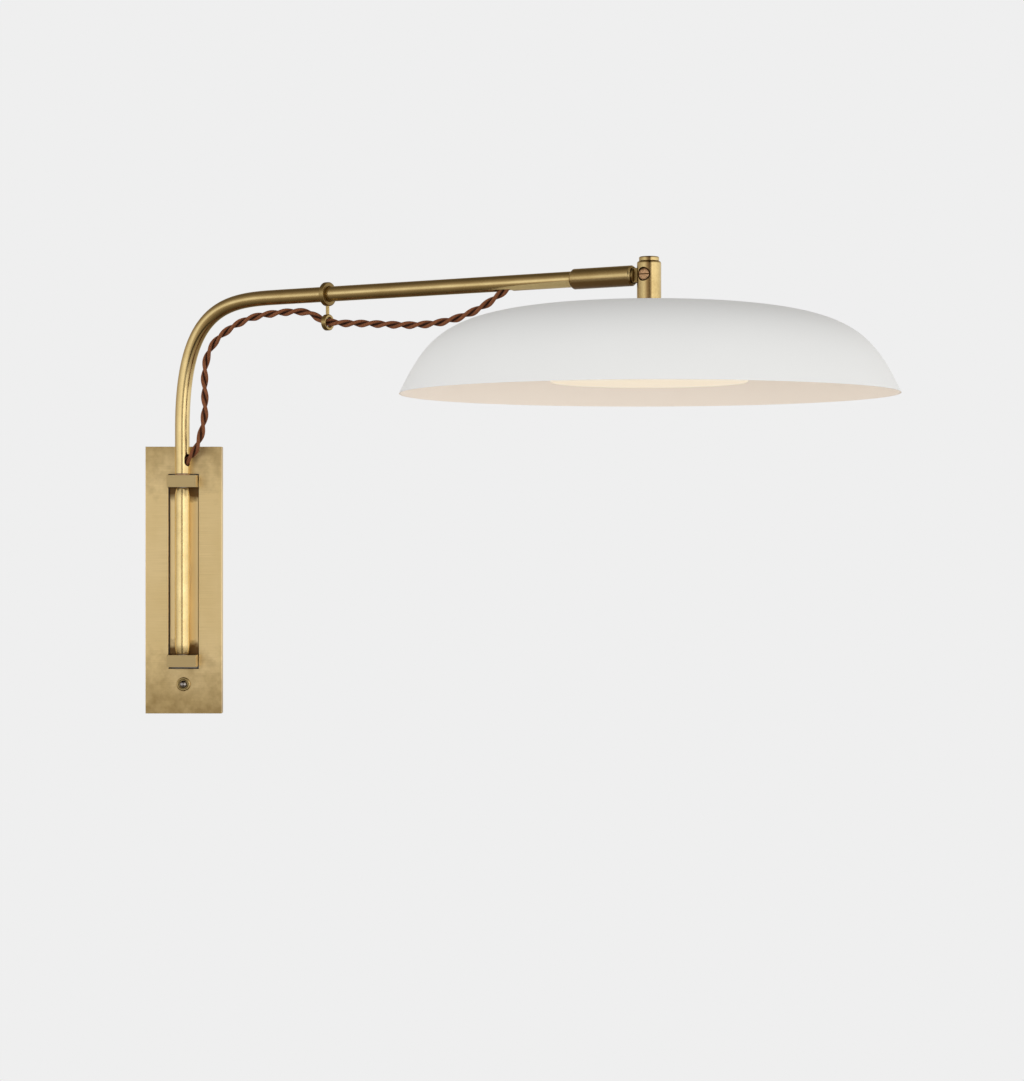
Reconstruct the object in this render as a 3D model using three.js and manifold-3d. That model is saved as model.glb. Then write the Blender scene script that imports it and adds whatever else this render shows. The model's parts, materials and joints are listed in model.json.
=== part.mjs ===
// Swing arm wall sconce with a spun dome shade, in millimetres, +Z up.
//
// The origin is on the wall, at the centre of the mounting strap's flat back face.
// +X runs to the right along the wall, -Y points out into the room.
// The arm swings about a vertical spindle, and the shade tilts in a slotted knuckle.
import * as THREE from 'three';
import { mergeVertices } from 'three/addons/utils/BufferGeometryUtils.js';
import Module from 'manifold-3d';

const wasm = await Module();
wasm.setup();

// ---------------------------------------------------------------- driving dimensions

const GAP = 0.3;                       // clearance between pieces that touch
const restSwing = 32.5;                // degrees that the arm stands out from the wall

const plate = { width: 68, height: 238, depth: 12, sheet: 1.6 };
const frameHole = { width: 27, bottom: -79, top: 94.4 };
const strap = { width: 50, height: 232.8, thick: 2.5, earWidth: 18, earReach: 9.4 };
const bracket = { width: 26, bottom: -77, top: 93.3, lug: 10.7, legBack: 2.8, legFront: 7.5 };

const spindle = { y: -21, radius: 4.5, bore: 2.8 };
const lugFront = spindle.y - 8.5;
const bushing = { inner: 4.8, outer: 6.0 };
const sleeve = { radius: 6.6, tip: 5.3, taper: 9.5 };

const tube = { radius: 6.5, bore: 5.3, bottom: 94.9 };
const armHeight = 246.4;               // centreline of the horizontal arm
const reach = 476.5;                   // spindle axis to shade axis
const bend = { start: 134.5, corner: 245.6, ease: 51.1, end: 106.6 };

const clip = { at: 160, outer: 10.3, width: 4.6, drop: 24.2, eye: 6.95, eyeHole: 4.35 };
const cordHole = { width: 7.5, depth: [2, 9], stem: [104.9, 108.3], arm: [334.6, 345.6] };
const endSleeve = { from: 406, to: 462.5, radius: 8.3, bore: 6.8, chamfer: 1.2, lap: 26 };
const neck = { radius: 6.2, from: 436, shoulder: 11.9, tongue: 6.6, tongueHeight: 11.2, wire: 2.2 };

const knuckle = {
  radius: 9.65, shoulder: 10.6, round: 1.6, capRadius: 8, capHeight: 3.4, capPeg: 2.9,
  slotTop: 8.8, slotBottom: -8.2, slotBack: 7.2,
};
const pivot = { head: 4.65, headDepth: 2.1, shank: 2.0, hole: 2.3, pocket: 5.6, seat: 6.6 };

const shade = { radius: 198.5, height: 71.5, rimHeight: 151.5, wall: 1.2 };
const nipple = { radius: 5, bore: 3.2 };
const pan = { radius: 80, top: 192, bottom: 164, wall: 1.2 };
const lens = { radius: 78.4, underside: 160.9, thick: 2 };

const cord = { diameter: 6.8, steps: 52, sides: 8 };
const button = { height: -92.9, radius: 2.9, face: 4.9, bushing: 4.1, panelHole: 4.4, nut: 6.15 };

// The cord's route in the plane of the arm: distance from the spindle axis, height.
const cordRoute = [
  [3.4, 104.6], [6.8, 107.2], [11.4, 111.4], [15.8, 117.2], [19.4, 124.4], [22.4, 133.0],
  [24.6, 141.8], [25.7, 150.6], [25.6, 160.0], [25.3, 170.0], [25.3, 180.0], [26.2, 190.0],
  [29.2, 199.6], [34.6, 207.6], [42.6, 214.6], [53.4, 221.0], [64.9, 225.9], [76.4, 229.3],
  [88.0, 231.2], [108.9, 232.7], [130.0, 232.7], [141.0, 230.9], [149.6, 226.8], [155.6, 223.3],
  [160.2, 222.3], [165.4, 221.9], [174.0, 220.8], [194.0, 219.8], [215.0, 218.3], [236.0, 216.7],
  [256.0, 216.0], [276.2, 217.1], [296.2, 220.6], [314.0, 226.4], [326.4, 232.2], [337.0, 238.6],
  [344.6, 243.4],
];

// ---------------------------------------------------------------- solids

// A closed solid from any closed geometry, with its faces turned outwards.
function solid(geometry) {
  const bare = geometry.clone();
  bare.deleteAttribute('normal');
  bare.deleteAttribute('uv');
  const merged = mergeVertices(bare, 1e-4);
  const p = merged.attributes.position.array;
  const index = [];
  let volume = 0;
  for (let i = 0; i < merged.index.count; i += 3) {
    const [a, b, c] = [0, 1, 2].map((k) => merged.index.getX(i + k));
    if (a === b || b === c || c === a) continue;
    index.push(a, b, c);
    const [va, vb, vc] = [a, b, c].map((v) => new THREE.Vector3().fromArray(p, 3 * v));
    volume += va.dot(vb.cross(vc));
  }
  if (volume < 0) index.reverse();
  const mesh = new wasm.Mesh({
    numProp: 3,
    vertProperties: new Float32Array(p),
    triVerts: new Uint32Array(index),
  });
  return new wasm.Manifold(mesh);
}

function geometryOf(body) {
  const { vertProperties, triVerts } = body.getMesh();
  const geometry = new THREE.BufferGeometry();
  geometry.setAttribute('position', new THREE.BufferAttribute(vertProperties, 3));
  geometry.setIndex(new THREE.BufferAttribute(triVerts, 1));
  geometry.computeVertexNormals();
  return geometry;
}

function cut(base, ...tools) {
  return geometryOf(tools.reduce((body, tool) => body.subtract(solid(tool)), solid(base)));
}

function join(base, ...others) {
  return geometryOf(others.reduce((body, other) => body.add(solid(other)), solid(base)));
}

// A box between two values on each axis.
function block([x0, x1], [y0, y1], [z0, z1]) {
  const box = new THREE.BoxGeometry(x1 - x0, y1 - y0, z1 - z0);
  return box.translate((x0 + x1) / 2, (y0 + y1) / 2, (z0 + z1) / 2);
}

// A solid of revolution about +Z from [radius, height] pairs.
function turned(profile, segments = 20) {
  const points = profile.map(([r, z]) => new THREE.Vector2(r, z));
  return new THREE.LatheGeometry(points, segments).rotateX(Math.PI / 2);
}

// The same for a ring: the outline closes on itself.
function turnedRing(profile, segments = 20) {
  return turned([...profile, profile[0]], segments);
}

function ring(inner, outer, z0, z1, segments = 18) {
  return turnedRing([[inner, z0], [outer, z0], [outer, z1], [inner, z1]], segments);
}

function disc(radius, z0, z1, segments = 18) {
  return turned([[0, z0], [radius, z0], [radius, z1], [0, z1]], segments);
}

// Turns a piece made along +Z so that it points along another axis.
function along(geometry, x, y, z) {
  const to = new THREE.Vector3(x, y, z).normalize();
  const turn = new THREE.Quaternion().setFromUnitVectors(new THREE.Vector3(0, 0, 1), to);
  return geometry.applyQuaternion(turn);
}

// A quarter round between two directions, as [radius, height] pairs.
function arc(centreR, centreZ, radius, fromDeg, toDeg, steps = 3) {
  const points = [];
  for (let i = 0; i <= steps; i += 1) {
    const angle = THREE.MathUtils.degToRad(fromDeg + ((toDeg - fromDeg) * i) / steps);
    points.push([centreR + radius * Math.cos(angle), centreZ + radius * Math.sin(angle)]);
  }
  return points;
}

// A hexagonal nut about +Z, measured across its flats.
function hexNut(flats, bore, z0, z1) {
  const body = new THREE.CylinderGeometry(flats / Math.sqrt(3), flats / Math.sqrt(3), z1 - z0, 6);
  body.rotateX(Math.PI / 2).translate(0, 0, (z0 + z1) / 2);
  return cut(body, disc(bore, z0 - 1, z1 + 1, 16));
}

// A headless screw along +Z with a screwdriver slot in its top end.
function grubScrew(radius, z0, z1) {
  const slot = block([-radius - 1, radius + 1], [-0.4, 0.4], [z1 - 0.9, z1 + 1]);
  return cut(disc(radius, z0, z1, 12), slot);
}

// A slotted screw along +Z: shank below zero, head above.
function slottedScrew({ head, headHeight, shank, length, slot = 0.9, segments = 12 }) {
  const profile = [[0, -length], [shank, -length], [shank, 0], [head, 0], [head, headHeight * 0.6],
    [head * 0.82, headHeight], [0, headHeight]];
  const driver = block([-head - 1, head + 1], [-slot / 2, slot / 2], [headHeight * 0.45, headHeight + 1]);
  return cut(turned(profile, segments), driver);
}

// ---------------------------------------------------------------- finishes

function finish(colour, roughness, metalness) {
  return new THREE.MeshStandardMaterial({ color: colour, roughness, metalness });
}

const brass = finish(0xb79c66, 0.34, 1);
const bronze = finish(0x9a7440, 0.42, 1);
const steel = finish(0x9a9c9e, 0.4, 1);
const nickel = finish(0x8f8a84, 0.18, 1);
const white = finish(0xe9e8e5, 0.7, 0);
const whiteInside = finish(0xe6dccf, 0.7, 0);
const aluminium = finish(0xb9bcc0, 0.45, 1);
const opal = finish(0xf3e6d2, 0.5, 0);
const plastic = finish(0x1d1d1e, 0.55, 0);
const nylon = finish(0xd8d4c8, 0.5, 0);
const circuit = finish(0xf0f0ea, 0.5, 0);
const clothCord = finish(0x5f2e18, 0.85, 0);
const greenScrew = finish(0x2f7d3a, 0.4, 1);

function add(group, name, geometry, material) {
  const mesh = new THREE.Mesh(geometryOf(solid(geometry)), material);
  mesh.name = name;
  group.add(mesh);
}

// ---------------------------------------------------------------- wall plate and bracket

const wallWing = 18.5;                 // sideways place of the strap's slots and ground screw
const wallSlot = { width: 5.2, length: 14, height: 80 };
const wireSlot = { width: 7.2, length: 60 };
const groundScrew = { height: 52, hole: 1.8 };
const bolt = { head: 4.6, shank: 2, hole: 2.3, heights: [62, -54] };  // behind the pivot sleeve
const grub = { radius: 2, hole: 2.3, y: -6 };                         // in the plate's skirt

function mountingStrap() {
  const half = strap.height / 2;
  const wing = strap.width / 2;
  const base = block([-wing, wing], [-strap.thick, 0], [-half, half]);
  const ears = [1, -1].map((side) => {
    const heights = [side * half, side * (half - strap.thick)].sort((a, b) => a - b);
    return block([-strap.earWidth / 2, strap.earWidth / 2], [-strap.earReach, -1], heights);
  });
  const holes = [];
  const slotAt = (x, z, { width, length }) => block([x - width / 2, x + width / 2], [-4, 1],
    [z - length / 2, z + length / 2]);
  for (const side of [1, -1]) {
    const ear = side * half;
    holes.push(disc(grub.hole, ear - 10, ear + 10, 14).translate(0, grub.y, 0));
    holes.push(slotAt(side * wallWing, wallSlot.height, wallSlot));
    holes.push(slotAt(side * wallWing, -wallSlot.height, wallSlot));
    holes.push(slotAt(side * wallWing, 0, wireSlot));
  }
  const through = (radius, x, z) => along(disc(radius, -5, 5, 14), 0, 1, 0).translate(x, 0, z);
  holes.push(...bolt.heights.map((height) => through(bolt.hole, 0, height)));
  holes.push(through(groundScrew.hole, wallWing, groundScrew.height));
  return cut(join(base, ...ears), ...holes);
}

function wallPlate() {
  const [w, h] = [plate.width / 2, plate.height / 2];
  const t = plate.sheet;
  const shell = block([-w, w], [-plate.depth, 0], [-h, h]);
  const inside = block([t - w, w - t], [t - plate.depth, 1], [t - h, h - t]);
  const opening = block([-frameHole.width / 2, frameHole.width / 2], [-20, 1],
    [frameHole.bottom, frameHole.top]);
  const switchHole = along(disc(button.panelHole, -20, 5, 20), 0, 1, 0).translate(0, 0, button.height);
  const grubHoles = disc(grub.hole, -h - 5, h + 5, 14).translate(0, grub.y, 0);
  return cut(shell, inside, opening, switchHole, grubHoles);
}

function swingBracket() {
  const half = bracket.width / 2;
  const leg = block([-half, half], [-bracket.legFront, -bracket.legBack], [bracket.bottom, bracket.top]);
  const lugDepth = [lugFront, -bracket.legBack];
  const lug = (bottom) => block([-half, half], lugDepth, [bottom, bottom + bracket.lug]);
  const lowLug = lug(bracket.bottom);
  const topLug = lug(bracket.top - bracket.lug);
  const holes = [disc(bushing.outer + GAP, -100, 120, 18).translate(0, spindle.y, 0)];
  const wireHeight = bracket.bottom + bracket.lug / 2;
  holes.push(along(disc(3.2, -19, 0, 16), 0, 1, 0).translate(0, 0, wireHeight));
  for (const height of bolt.heights) {
    const countersink = turned([[0, -9], [5.2, -9], [5.2, -7.2], [2.4, -4.4], [2.4, 0], [0, 0]], 14);
    holes.push(along(countersink, 0, 1, 0).translate(0, 0, height));
  }
  return cut(join(leg, lowLug, topLug), ...holes);
}

// Flush countersunk screw, its head at the front of the bracket's leg.
function bracketScrew(height) {
  const { head, shank } = bolt;
  const outline = [[0, -7.3], [head, -7.3], [head, -6.9], [shank, -4.3], [shank, -GAP], [0, -GAP]];
  const body = turned(outline, 14);
  const driver = block([-6, 6], [-0.5, 0.5], [-8, -6.5]);
  return along(cut(body, driver), 0, 1, 0).translate(0, 0, height);
}

function bushingAt(z0, z1) {
  return ring(bushing.inner, bushing.outer, z0, z1).translate(0, spindle.y, 0);
}

function addWallBracket(group) {
  const lugs = { low: bracket.bottom + bracket.lug, high: bracket.top - bracket.lug };
  add(group, 'mounting_strap', mountingStrap(), steel);
  add(group, 'wall_plate', wallPlate(), brass);
  add(group, 'swing_bracket', swingBracket(), brass);
  add(group, 'upper_bushing', bushingAt(lugs.high + 0.1, bracket.top - 0.1), bronze);
  add(group, 'lower_bushing', bushingAt(lugs.low - 2.6, lugs.low - 0.1), bronze);
  bolt.heights.forEach((height, i) => {
    add(group, ['bracket_screw_upper', 'bracket_screw_lower'][i], bracketScrew(height), steel);
  });
  const screw = grubScrew(grub.radius, 113.4, plate.height / 2 - 0.2).translate(0, grub.y, 0);
  add(group, 'plate_screw_top', screw, steel);
  add(group, 'plate_screw_bottom', screw.clone().rotateY(Math.PI), steel);
  const ground = slottedScrew({ head: 3.4, headHeight: 2.2, shank: 1.5, length: 2.4 });
  ground.applyMatrix4(new THREE.Matrix4().makeRotationX(Math.PI / 2));
  ground.translate(wallWing, -strap.thick - GAP, groundScrew.height);
  add(group, 'ground_screw', ground, greenScrew);
}

// ---------------------------------------------------------------- switch

function addSwitch(group, buttonGroup) {
  const face = -plate.depth;
  const back = face + plate.sheet + GAP;
  const inward = (geometry) => along(geometry, 0, 1, 0).translate(0, 0, button.height);
  const body = block([-8, 8], [back, -strap.thick - GAP], [button.height - 8, button.height + 8]);
  const threaded = inward(disc(button.bushing, face - 1.6, back + 1, 20));
  const bore = inward(disc(button.radius + 0.4, face - 9, back + 3.4, 20));
  add(group, 'switch_body', cut(join(body, threaded), bore), plastic);

  const { panelHole, nut } = button;
  const ringNut = turnedRing([[panelHole, face - GAP], [nut, face - GAP], [nut, face - 1.3],
    [nut - 0.55, face - 1.9], [panelHole, face - 1.9]], 20);
  add(group, 'switch_nut', inward(ringNut), brass);

  // The dome is a flattened quarter round, proud of the nut by the button's travel.
  const crown = face - button.face;
  const flat = 0.62;
  const dome = arc(0, 0, button.radius, 0, 90, 4).slice(0, -1).reverse()
    .map(([r, z]) => [r, crown + flat * (button.radius - z)]);
  const domed = turned([[0, crown], ...dome, [button.radius, face - 0.6], [0, face - 0.6]], 14);
  add(buttonGroup, 'switch_button', inward(domed), nickel);
}

// ---------------------------------------------------------------- arm

// Centreline of the bent tube: straight stem, one bend, straight arm. Each straight
// run is a single step, and the bend takes the others.
class ArmCentreline extends THREE.Curve {
  constructor(armEnd, bendSteps) {
    super();
    this.steps = bendSteps + 2;
    this.stem = new THREE.Vector3(0, 0, tube.bottom);
    this.end = new THREE.Vector3(armEnd, 0, armHeight);
    this.bend = new THREE.CubicBezierCurve3(
      new THREE.Vector3(0, 0, bend.start), new THREE.Vector3(0, 0, bend.corner),
      new THREE.Vector3(bend.ease, 0, armHeight), new THREE.Vector3(bend.end, 0, armHeight),
    );
  }

  getPoint(t) {
    const step = t * this.steps;
    const last = this.steps - 1;
    if (step <= 1) return this.stem.clone().lerp(this.bend.v0, step);
    if (step >= last) return this.bend.v3.clone().lerp(this.end, step - last);
    return this.bend.getPoint((step - 1) / (last - 1));
  }

  // Steps are spread along the parameter, not along the length.
  getUtoTmapping(u) {
    return u;
  }
}

function armTube() {
  const section = new THREE.Shape().absarc(0, 0, tube.radius, 0, 2 * Math.PI);
  section.holes.push(new THREE.Path().absarc(0, 0, tube.bore, 0, 2 * Math.PI, true));
  const centreline = new ArmCentreline(endSleeve.from + endSleeve.lap, 13);
  const pipe = new THREE.ExtrudeGeometry(section, {
    steps: centreline.steps, extrudePath: centreline, curveSegments: 8, bevelEnabled: false,
  });
  const half = cordHole.width / 2;
  const end = () => disc(half, ...cordHole.depth, 16);
  const stemHole = join(block(cordHole.depth, [-half, half], cordHole.stem),
    ...cordHole.stem.map((height) => along(end(), 1, 0, 0).translate(0, 0, height)));
  const underside = cordHole.depth.map((depth) => armHeight - depth).reverse();
  const armHole = join(block(cordHole.arm, [-half, half], underside),
    ...cordHole.arm.map((u) => along(end(), 0, 0, -1).translate(u, 0, armHeight)));
  return cut(pipe, stemHole, armHole);
}

function pivotSleeve(low, high) {
  const bore = bushing.inner;
  const { tip, taper } = sleeve;
  const wide = sleeve.radius;
  const ogive = [0, 0.3, 0.6, 0.85, 1]
    .map((k) => [tip + (wide - tip) * Math.sin(k * Math.PI / 2), k * taper]);
  const outline = [[bore, low], ...ogive.map(([r, h]) => [r, low + h]),
    ...ogive.map(([r, h]) => [r, high - h]).reverse(), [bore, high]];
  const grubHole = along(disc(1.8, 3, 9, 12), 0, 1, 0).translate(0, 0, (low + high) / 2);
  return cut(turnedRing(outline, 20), grubHole);
}

function armClip(group) {
  const half = clip.width / 2;
  const place = (geometry) => along(geometry, 1, 0, 0).translate(clip.at, 0, armHeight);
  const bevel = 0.7;
  const outline = (inner, outer) => [[inner, -half], [outer - bevel, -half], [outer, bevel - half],
    [outer, half - bevel], [outer - bevel, half], [inner, half]];
  const collar = cut(place(turnedRing(outline(tube.radius + GAP, clip.outer), 22)),
    disc(1.35, armHeight - 12, armHeight - 8.6, 12).translate(clip.at, 0, 0),
    along(disc(1.5, 5, 12, 12), 0, 0, 1).translate(clip.at, 0, armHeight));
  add(group, 'clip_collar', collar, brass);
  const grub = grubScrew(1.2, tube.radius + GAP, clip.outer - 0.2);
  add(group, 'clip_screw', grub.translate(clip.at, 0, armHeight), steel);
  const eyeHeight = armHeight - clip.drop;
  const post = disc(1.05, eyeHeight + clip.eye - 1.2, armHeight - 8.9, 14);
  const shank = disc(1.5, eyeHeight + clip.eye + GAP, armHeight - clip.outer - GAP, 14);
  add(group, 'clip_post', join(post, shank).translate(clip.at, 0, 0), brass);
  const eye = turnedRing(outline(clip.eyeHole, clip.eye), 18);
  const eyelet = cut(along(eye, 1, 0, 0).translate(clip.at, 0, eyeHeight),
    disc(1.35, eyeHeight + clip.eye - 1.6, eyeHeight + clip.eye + 1, 12).translate(clip.at, 0, 0));
  add(group, 'clip_eyelet', eyelet, brass);
}

function clothCordTube() {
  const points = cordRoute.map(([u, z]) => new THREE.Vector3(u, 0, z));
  const section = new THREE.Shape(Array.from({ length: cord.sides }, (_, i) => {
    const angle = (2 * Math.PI * i) / cord.sides;
    return new THREE.Vector2(Math.cos(angle), Math.sin(angle)).multiplyScalar(cord.diameter / 2);
  }));
  return new THREE.ExtrudeGeometry(section, {
    steps: cord.steps, extrudePath: new THREE.CatmullRomCurve3(points), bevelEnabled: false,
  });
}

function knuckleNeck() {
  const round = along(disc(neck.radius, neck.from, reach - neck.shoulder, 24), 1, 0, 0);
  const blade = join(block([neck.from, reach], [-neck.tongue / 2, neck.tongue / 2],
    [-neck.tongueHeight / 2, neck.tongueHeight / 2]),
  along(disc(neck.tongueHeight / 2, -neck.tongue / 2, neck.tongue / 2, 24), 0, 1, 0).translate(reach, 0, 0));
  const hole = along(disc(pivot.hole, -9, 9, 16), 0, 1, 0).translate(reach, 0, 0);
  const wireBore = along(disc(neck.wire, neck.from - 1, reach - 18, 12), 1, 0, 0);
  return cut(join(round, blade), hole, wireBore).translate(0, 0, armHeight);
}

function addArm(group) {
  const sleeveLow = bracket.bottom + bracket.lug + GAP;
  const sleeveHigh = bracket.top - bracket.lug - GAP;
  const shaft = ring(spindle.bore, spindle.radius, bracket.bottom + 4, 101, 24);
  add(group, 'pivot_spindle', shaft, steel);
  add(group, 'pivot_sleeve', pivotSleeve(sleeveLow, sleeveHigh), brass);
  const middle = (sleeveLow + sleeveHigh) / 2;
  const sleeveScrew = along(grubScrew(1.5, spindle.radius + GAP, sleeve.radius - 0.1), 0, 1, 0);
  add(group, 'sleeve_grub_screw', sleeveScrew.translate(0, 0, middle), steel);
  const washer = ring(spindle.radius + GAP, tube.radius, bracket.top + GAP, tube.bottom - GAP);
  add(group, 'thrust_washer', washer, bronze);
  add(group, 'arm_tube', armTube(), brass);
  armClip(group);
  add(group, 'cloth_cord', clothCordTube(), clothCord);

  const { from, to, radius, bore, chamfer } = endSleeve;
  const outline = [[bore, from], [radius - chamfer, from], [radius, from + 1.6], [radius, to - 1.6],
    [radius - chamfer, to], [bore, to]];
  const sleeveBody = cut(along(turnedRing(outline, 22), 1, 0, 0).translate(0, 0, armHeight),
    disc(1.8, armHeight - 12, armHeight - 4, 12).translate(to - 12, 0, 0));
  add(group, 'end_sleeve', sleeveBody, brass);
  const endScrew = grubScrew(1.5, neck.radius + GAP, radius - 0.1).rotateX(Math.PI);
  add(group, 'end_sleeve_screw', endScrew.translate(to - 12, 0, armHeight), steel);
  add(group, 'knuckle_neck', knuckleNeck(), brass);
}

// ---------------------------------------------------------------- shade head

const domeTop = shade.rimHeight + shade.height;

// The dome's outer line: flat crown, then a wall that leans in from the rim.
function domeLine(inset, steps = 10) {
  const [r, h] = [shade.radius - inset, shade.height - inset];
  const line = new THREE.CubicBezierCurve(
    new THREE.Vector2(0, h), new THREE.Vector2(0.784 * r, h),
    new THREE.Vector2(0.868 * r, 0.769 * h), new THREE.Vector2(r, 0),
  );
  return line.getPoints(steps).map(({ x, y }) => [x, y + shade.rimHeight]);
}

function shadeShell() {
  const outline = [...domeLine(0), ...domeLine(shade.wall).reverse()];
  const hole = disc(nipple.radius + GAP, domeTop - 5, domeTop + 5, 20);
  return cut(turned(outline, 44), hole);
}

function knucklePost() {
  const { radius, shoulder, round, slotTop, slotBottom, slotBack } = knuckle;
  const bottom = domeTop + GAP - armHeight;
  const body = turned([[0, bottom], [radius, bottom], [radius, shoulder - round],
    ...arc(radius - round, shoulder - round, round, 30, 90, 2), [0, shoulder]], 24);
  const slotHalf = neck.tongue / 2 + 1.1;
  const tongueSlot = block([-12, slotBack], [-slotHalf, slotHalf], [slotBottom, slotTop]);
  const across = (geometry) => along(geometry, 0, -1, 0);
  return cut(body, tongueSlot,
    across(disc(pivot.hole, -8, 10, 16)),
    across(disc(pivot.pocket, pivot.seat, 12, 24)),
    disc(nipple.radius + GAP, bottom - 1, -11.5, 20),
    disc(3.1, -13, -7, 16), disc(3.2, 7, 12, 16)).translate(0, 0, armHeight);
}

function knuckleCap() {
  const { capRadius, capHeight, capPeg, shoulder } = knuckle;
  const base = shoulder + GAP;
  return turned([[0, shoulder - 1.2], [capPeg, shoulder - 1.2], [capPeg, base], [capRadius, base],
    ...arc(capRadius - 1, base + capHeight - 1, 1, 0, 90, 2), [0, base + capHeight]], 22)
    .translate(0, 0, armHeight);
}

// Cheese-head pivot screw, its slot level, seen from the room.
function pivotScrew() {
  const { head, shank, headDepth, seat } = pivot;
  const body = slottedScrew({
    head, headHeight: headDepth, shank, length: seat + GAP + 7.4, slot: 1, segments: 20,
  });
  return along(body, 0, -1, 0).translate(0, -seat - GAP, armHeight);
}

function ledPan() {
  const { radius, top, bottom, wall } = pan;
  const outline = [[nipple.radius + GAP, top], [radius - 3, top], [radius, top - 3], [radius, bottom],
    [radius - wall, bottom], [radius - wall, top - 3.4], [radius - 3.4, top - wall],
    [nipple.radius + GAP, top - wall]];
  return turnedRing(outline, 32);
}

// A shallow opal cup that snaps inside the pan's mouth.
function diffuser() {
  const { radius, underside, thick } = lens;
  const lip = pan.bottom + 3;
  return turned([[0, underside], [radius - 1.2, underside], [radius, underside + 1.2], [radius, lip],
    [radius - 1.6, lip], [radius - 1.6, underside + thick], [0, underside + thick]], 32);
}

const standoffRing = { radius: 58, count: 3, turn: 30 };
const board = { bottom: 170.3, thick: 1.6, radius: 68 };
const spreader = { bottom: 172.2, thick: 3, radius: 74 };

function standoffPlaces() {
  return Array.from({ length: standoffRing.count }, (_, i) => {
    const angle = THREE.MathUtils.degToRad(standoffRing.turn + (360 / standoffRing.count) * i);
    return [standoffRing.radius * Math.cos(angle), standoffRing.radius * Math.sin(angle)];
  });
}

function pierced(body, radius) {
  return cut(body, ...standoffPlaces().map(([x, y]) => disc(radius, 160, 200, 12).translate(x, y, 0)));
}

// Ring-shaped circuit board with two rings of small emitters on its lower face.
function ledBoard() {
  const base = ring(12, board.radius, board.bottom, board.bottom + board.thick, 24);
  const chips = [];
  for (const [radius, count] of [[28, 6], [48, 9]]) {
    for (let i = 0; i < count; i += 1) {
      const heights = [board.bottom - 0.8, board.bottom + 0.4];
      const chip = block([radius - 1.6, radius + 1.6], [-1.6, 1.6], heights);
      chips.push(chip.rotateZ((2 * Math.PI * (i + 0.5)) / count));
    }
  }
  return pierced(join(base, ...chips), 1.9);
}

function addShadeHead(group) {
  add(group, 'knuckle_post', knucklePost(), brass);
  add(group, 'knuckle_cap', knuckleCap(), brass);
  add(group, 'pivot_screw', pivotScrew(), bronze);
  const [near, far] = [neck.tongue / 2 + GAP, neck.tongue / 2 + 0.8];
  const washer = ring(pivot.hole, 4.8, near, far, 20);
  add(group, 'friction_washer_near', along(washer.clone(), 0, -1, 0).translate(0, 0, armHeight), nylon);
  add(group, 'friction_washer_far', along(washer, 0, 1, 0).translate(0, 0, armHeight), nylon);

  const inner = domeTop - shade.wall;
  add(group, 'threaded_nipple', ring(nipple.bore, nipple.radius, pan.top - 8, armHeight - 12, 20), brass);
  add(group, 'shade', shadeShell(), white);
  add(group, 'shade_washer', ring(nipple.radius + GAP, 14, inner - 1.9, inner - 0.4, 24), steel);
  add(group, 'shade_nut', hexNut(16, nipple.radius + GAP, inner - 6.4, inner - 2.2), steel);
  add(group, 'spacer_tube', ring(nipple.radius + GAP, 8, pan.top + GAP, inner - 6.7, 20), aluminium);
  add(group, 'led_pan', pierced(ledPan(), 1.9), whiteInside);
  add(group, 'pan_washer', ring(nipple.radius + GAP, 10, pan.top - 3, pan.top - 1.5, 20), steel);
  add(group, 'pan_nut', hexNut(15, nipple.radius + GAP, pan.top - 7.3, pan.top - 3.3), steel);
  const spreaderTop = spreader.bottom + spreader.thick;
  const platter = disc(spreader.radius, spreader.bottom, spreaderTop, 24);
  add(group, 'heat_spreader', cut(pierced(platter, 1.9), disc(4, 160, 200, 16)), aluminium);
  const driver = block([16, 66], [-16, 16], [spreaderTop + GAP, spreaderTop + 13]);
  add(group, 'led_driver', driver.rotateZ(Math.PI / 2), plastic);
  add(group, 'led_board', ledBoard(), circuit);
  standoffPlaces().forEach(([x, y], i) => {
    const post = ring(1.9, 3.2, spreaderTop + GAP, pan.top - pan.wall - GAP, 14);
    add(group, `standoff_${i + 1}`, post.translate(x, y, 0), aluminium);
    const length = pan.top + 1.4 - (board.bottom - GAP);
    const screw = slottedScrew({ head: 2.8, headHeight: 1.6, shank: 1.6, length, segments: 12 });
    screw.applyMatrix4(new THREE.Matrix4().makeRotationX(Math.PI));
    add(group, `board_screw_${i + 1}`, screw.translate(x, y, board.bottom - GAP), steel);
  });
  add(group, 'diffuser', diffuser(), opal);
}

// ---------------------------------------------------------------- assembly

const sconce = new THREE.Group();
const armGroup = new THREE.Group();
armGroup.position.set(0, spindle.y, 0);
armGroup.rotation.z = THREE.MathUtils.degToRad(-restSwing);
const headGroup = new THREE.Group();
headGroup.position.set(reach, 0, 0);
armGroup.add(headGroup);
const buttonGroup = new THREE.Group();
sconce.add(armGroup, buttonGroup);

addWallBracket(sconce);
addSwitch(sconce, buttonGroup);
addArm(armGroup);
addShadeHead(headGroup);

export default sconce;
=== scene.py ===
"""Swing arm wall sconce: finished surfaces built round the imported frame.

Everything is in metres in the frame's own axes: +X right along the wall, -Y out into the
room, +Z up. Places come from the frame's joints and nodes; finish details are set here.
"""

import json
import math

import bmesh
import bpy
from mathutils import Matrix, Vector


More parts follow.
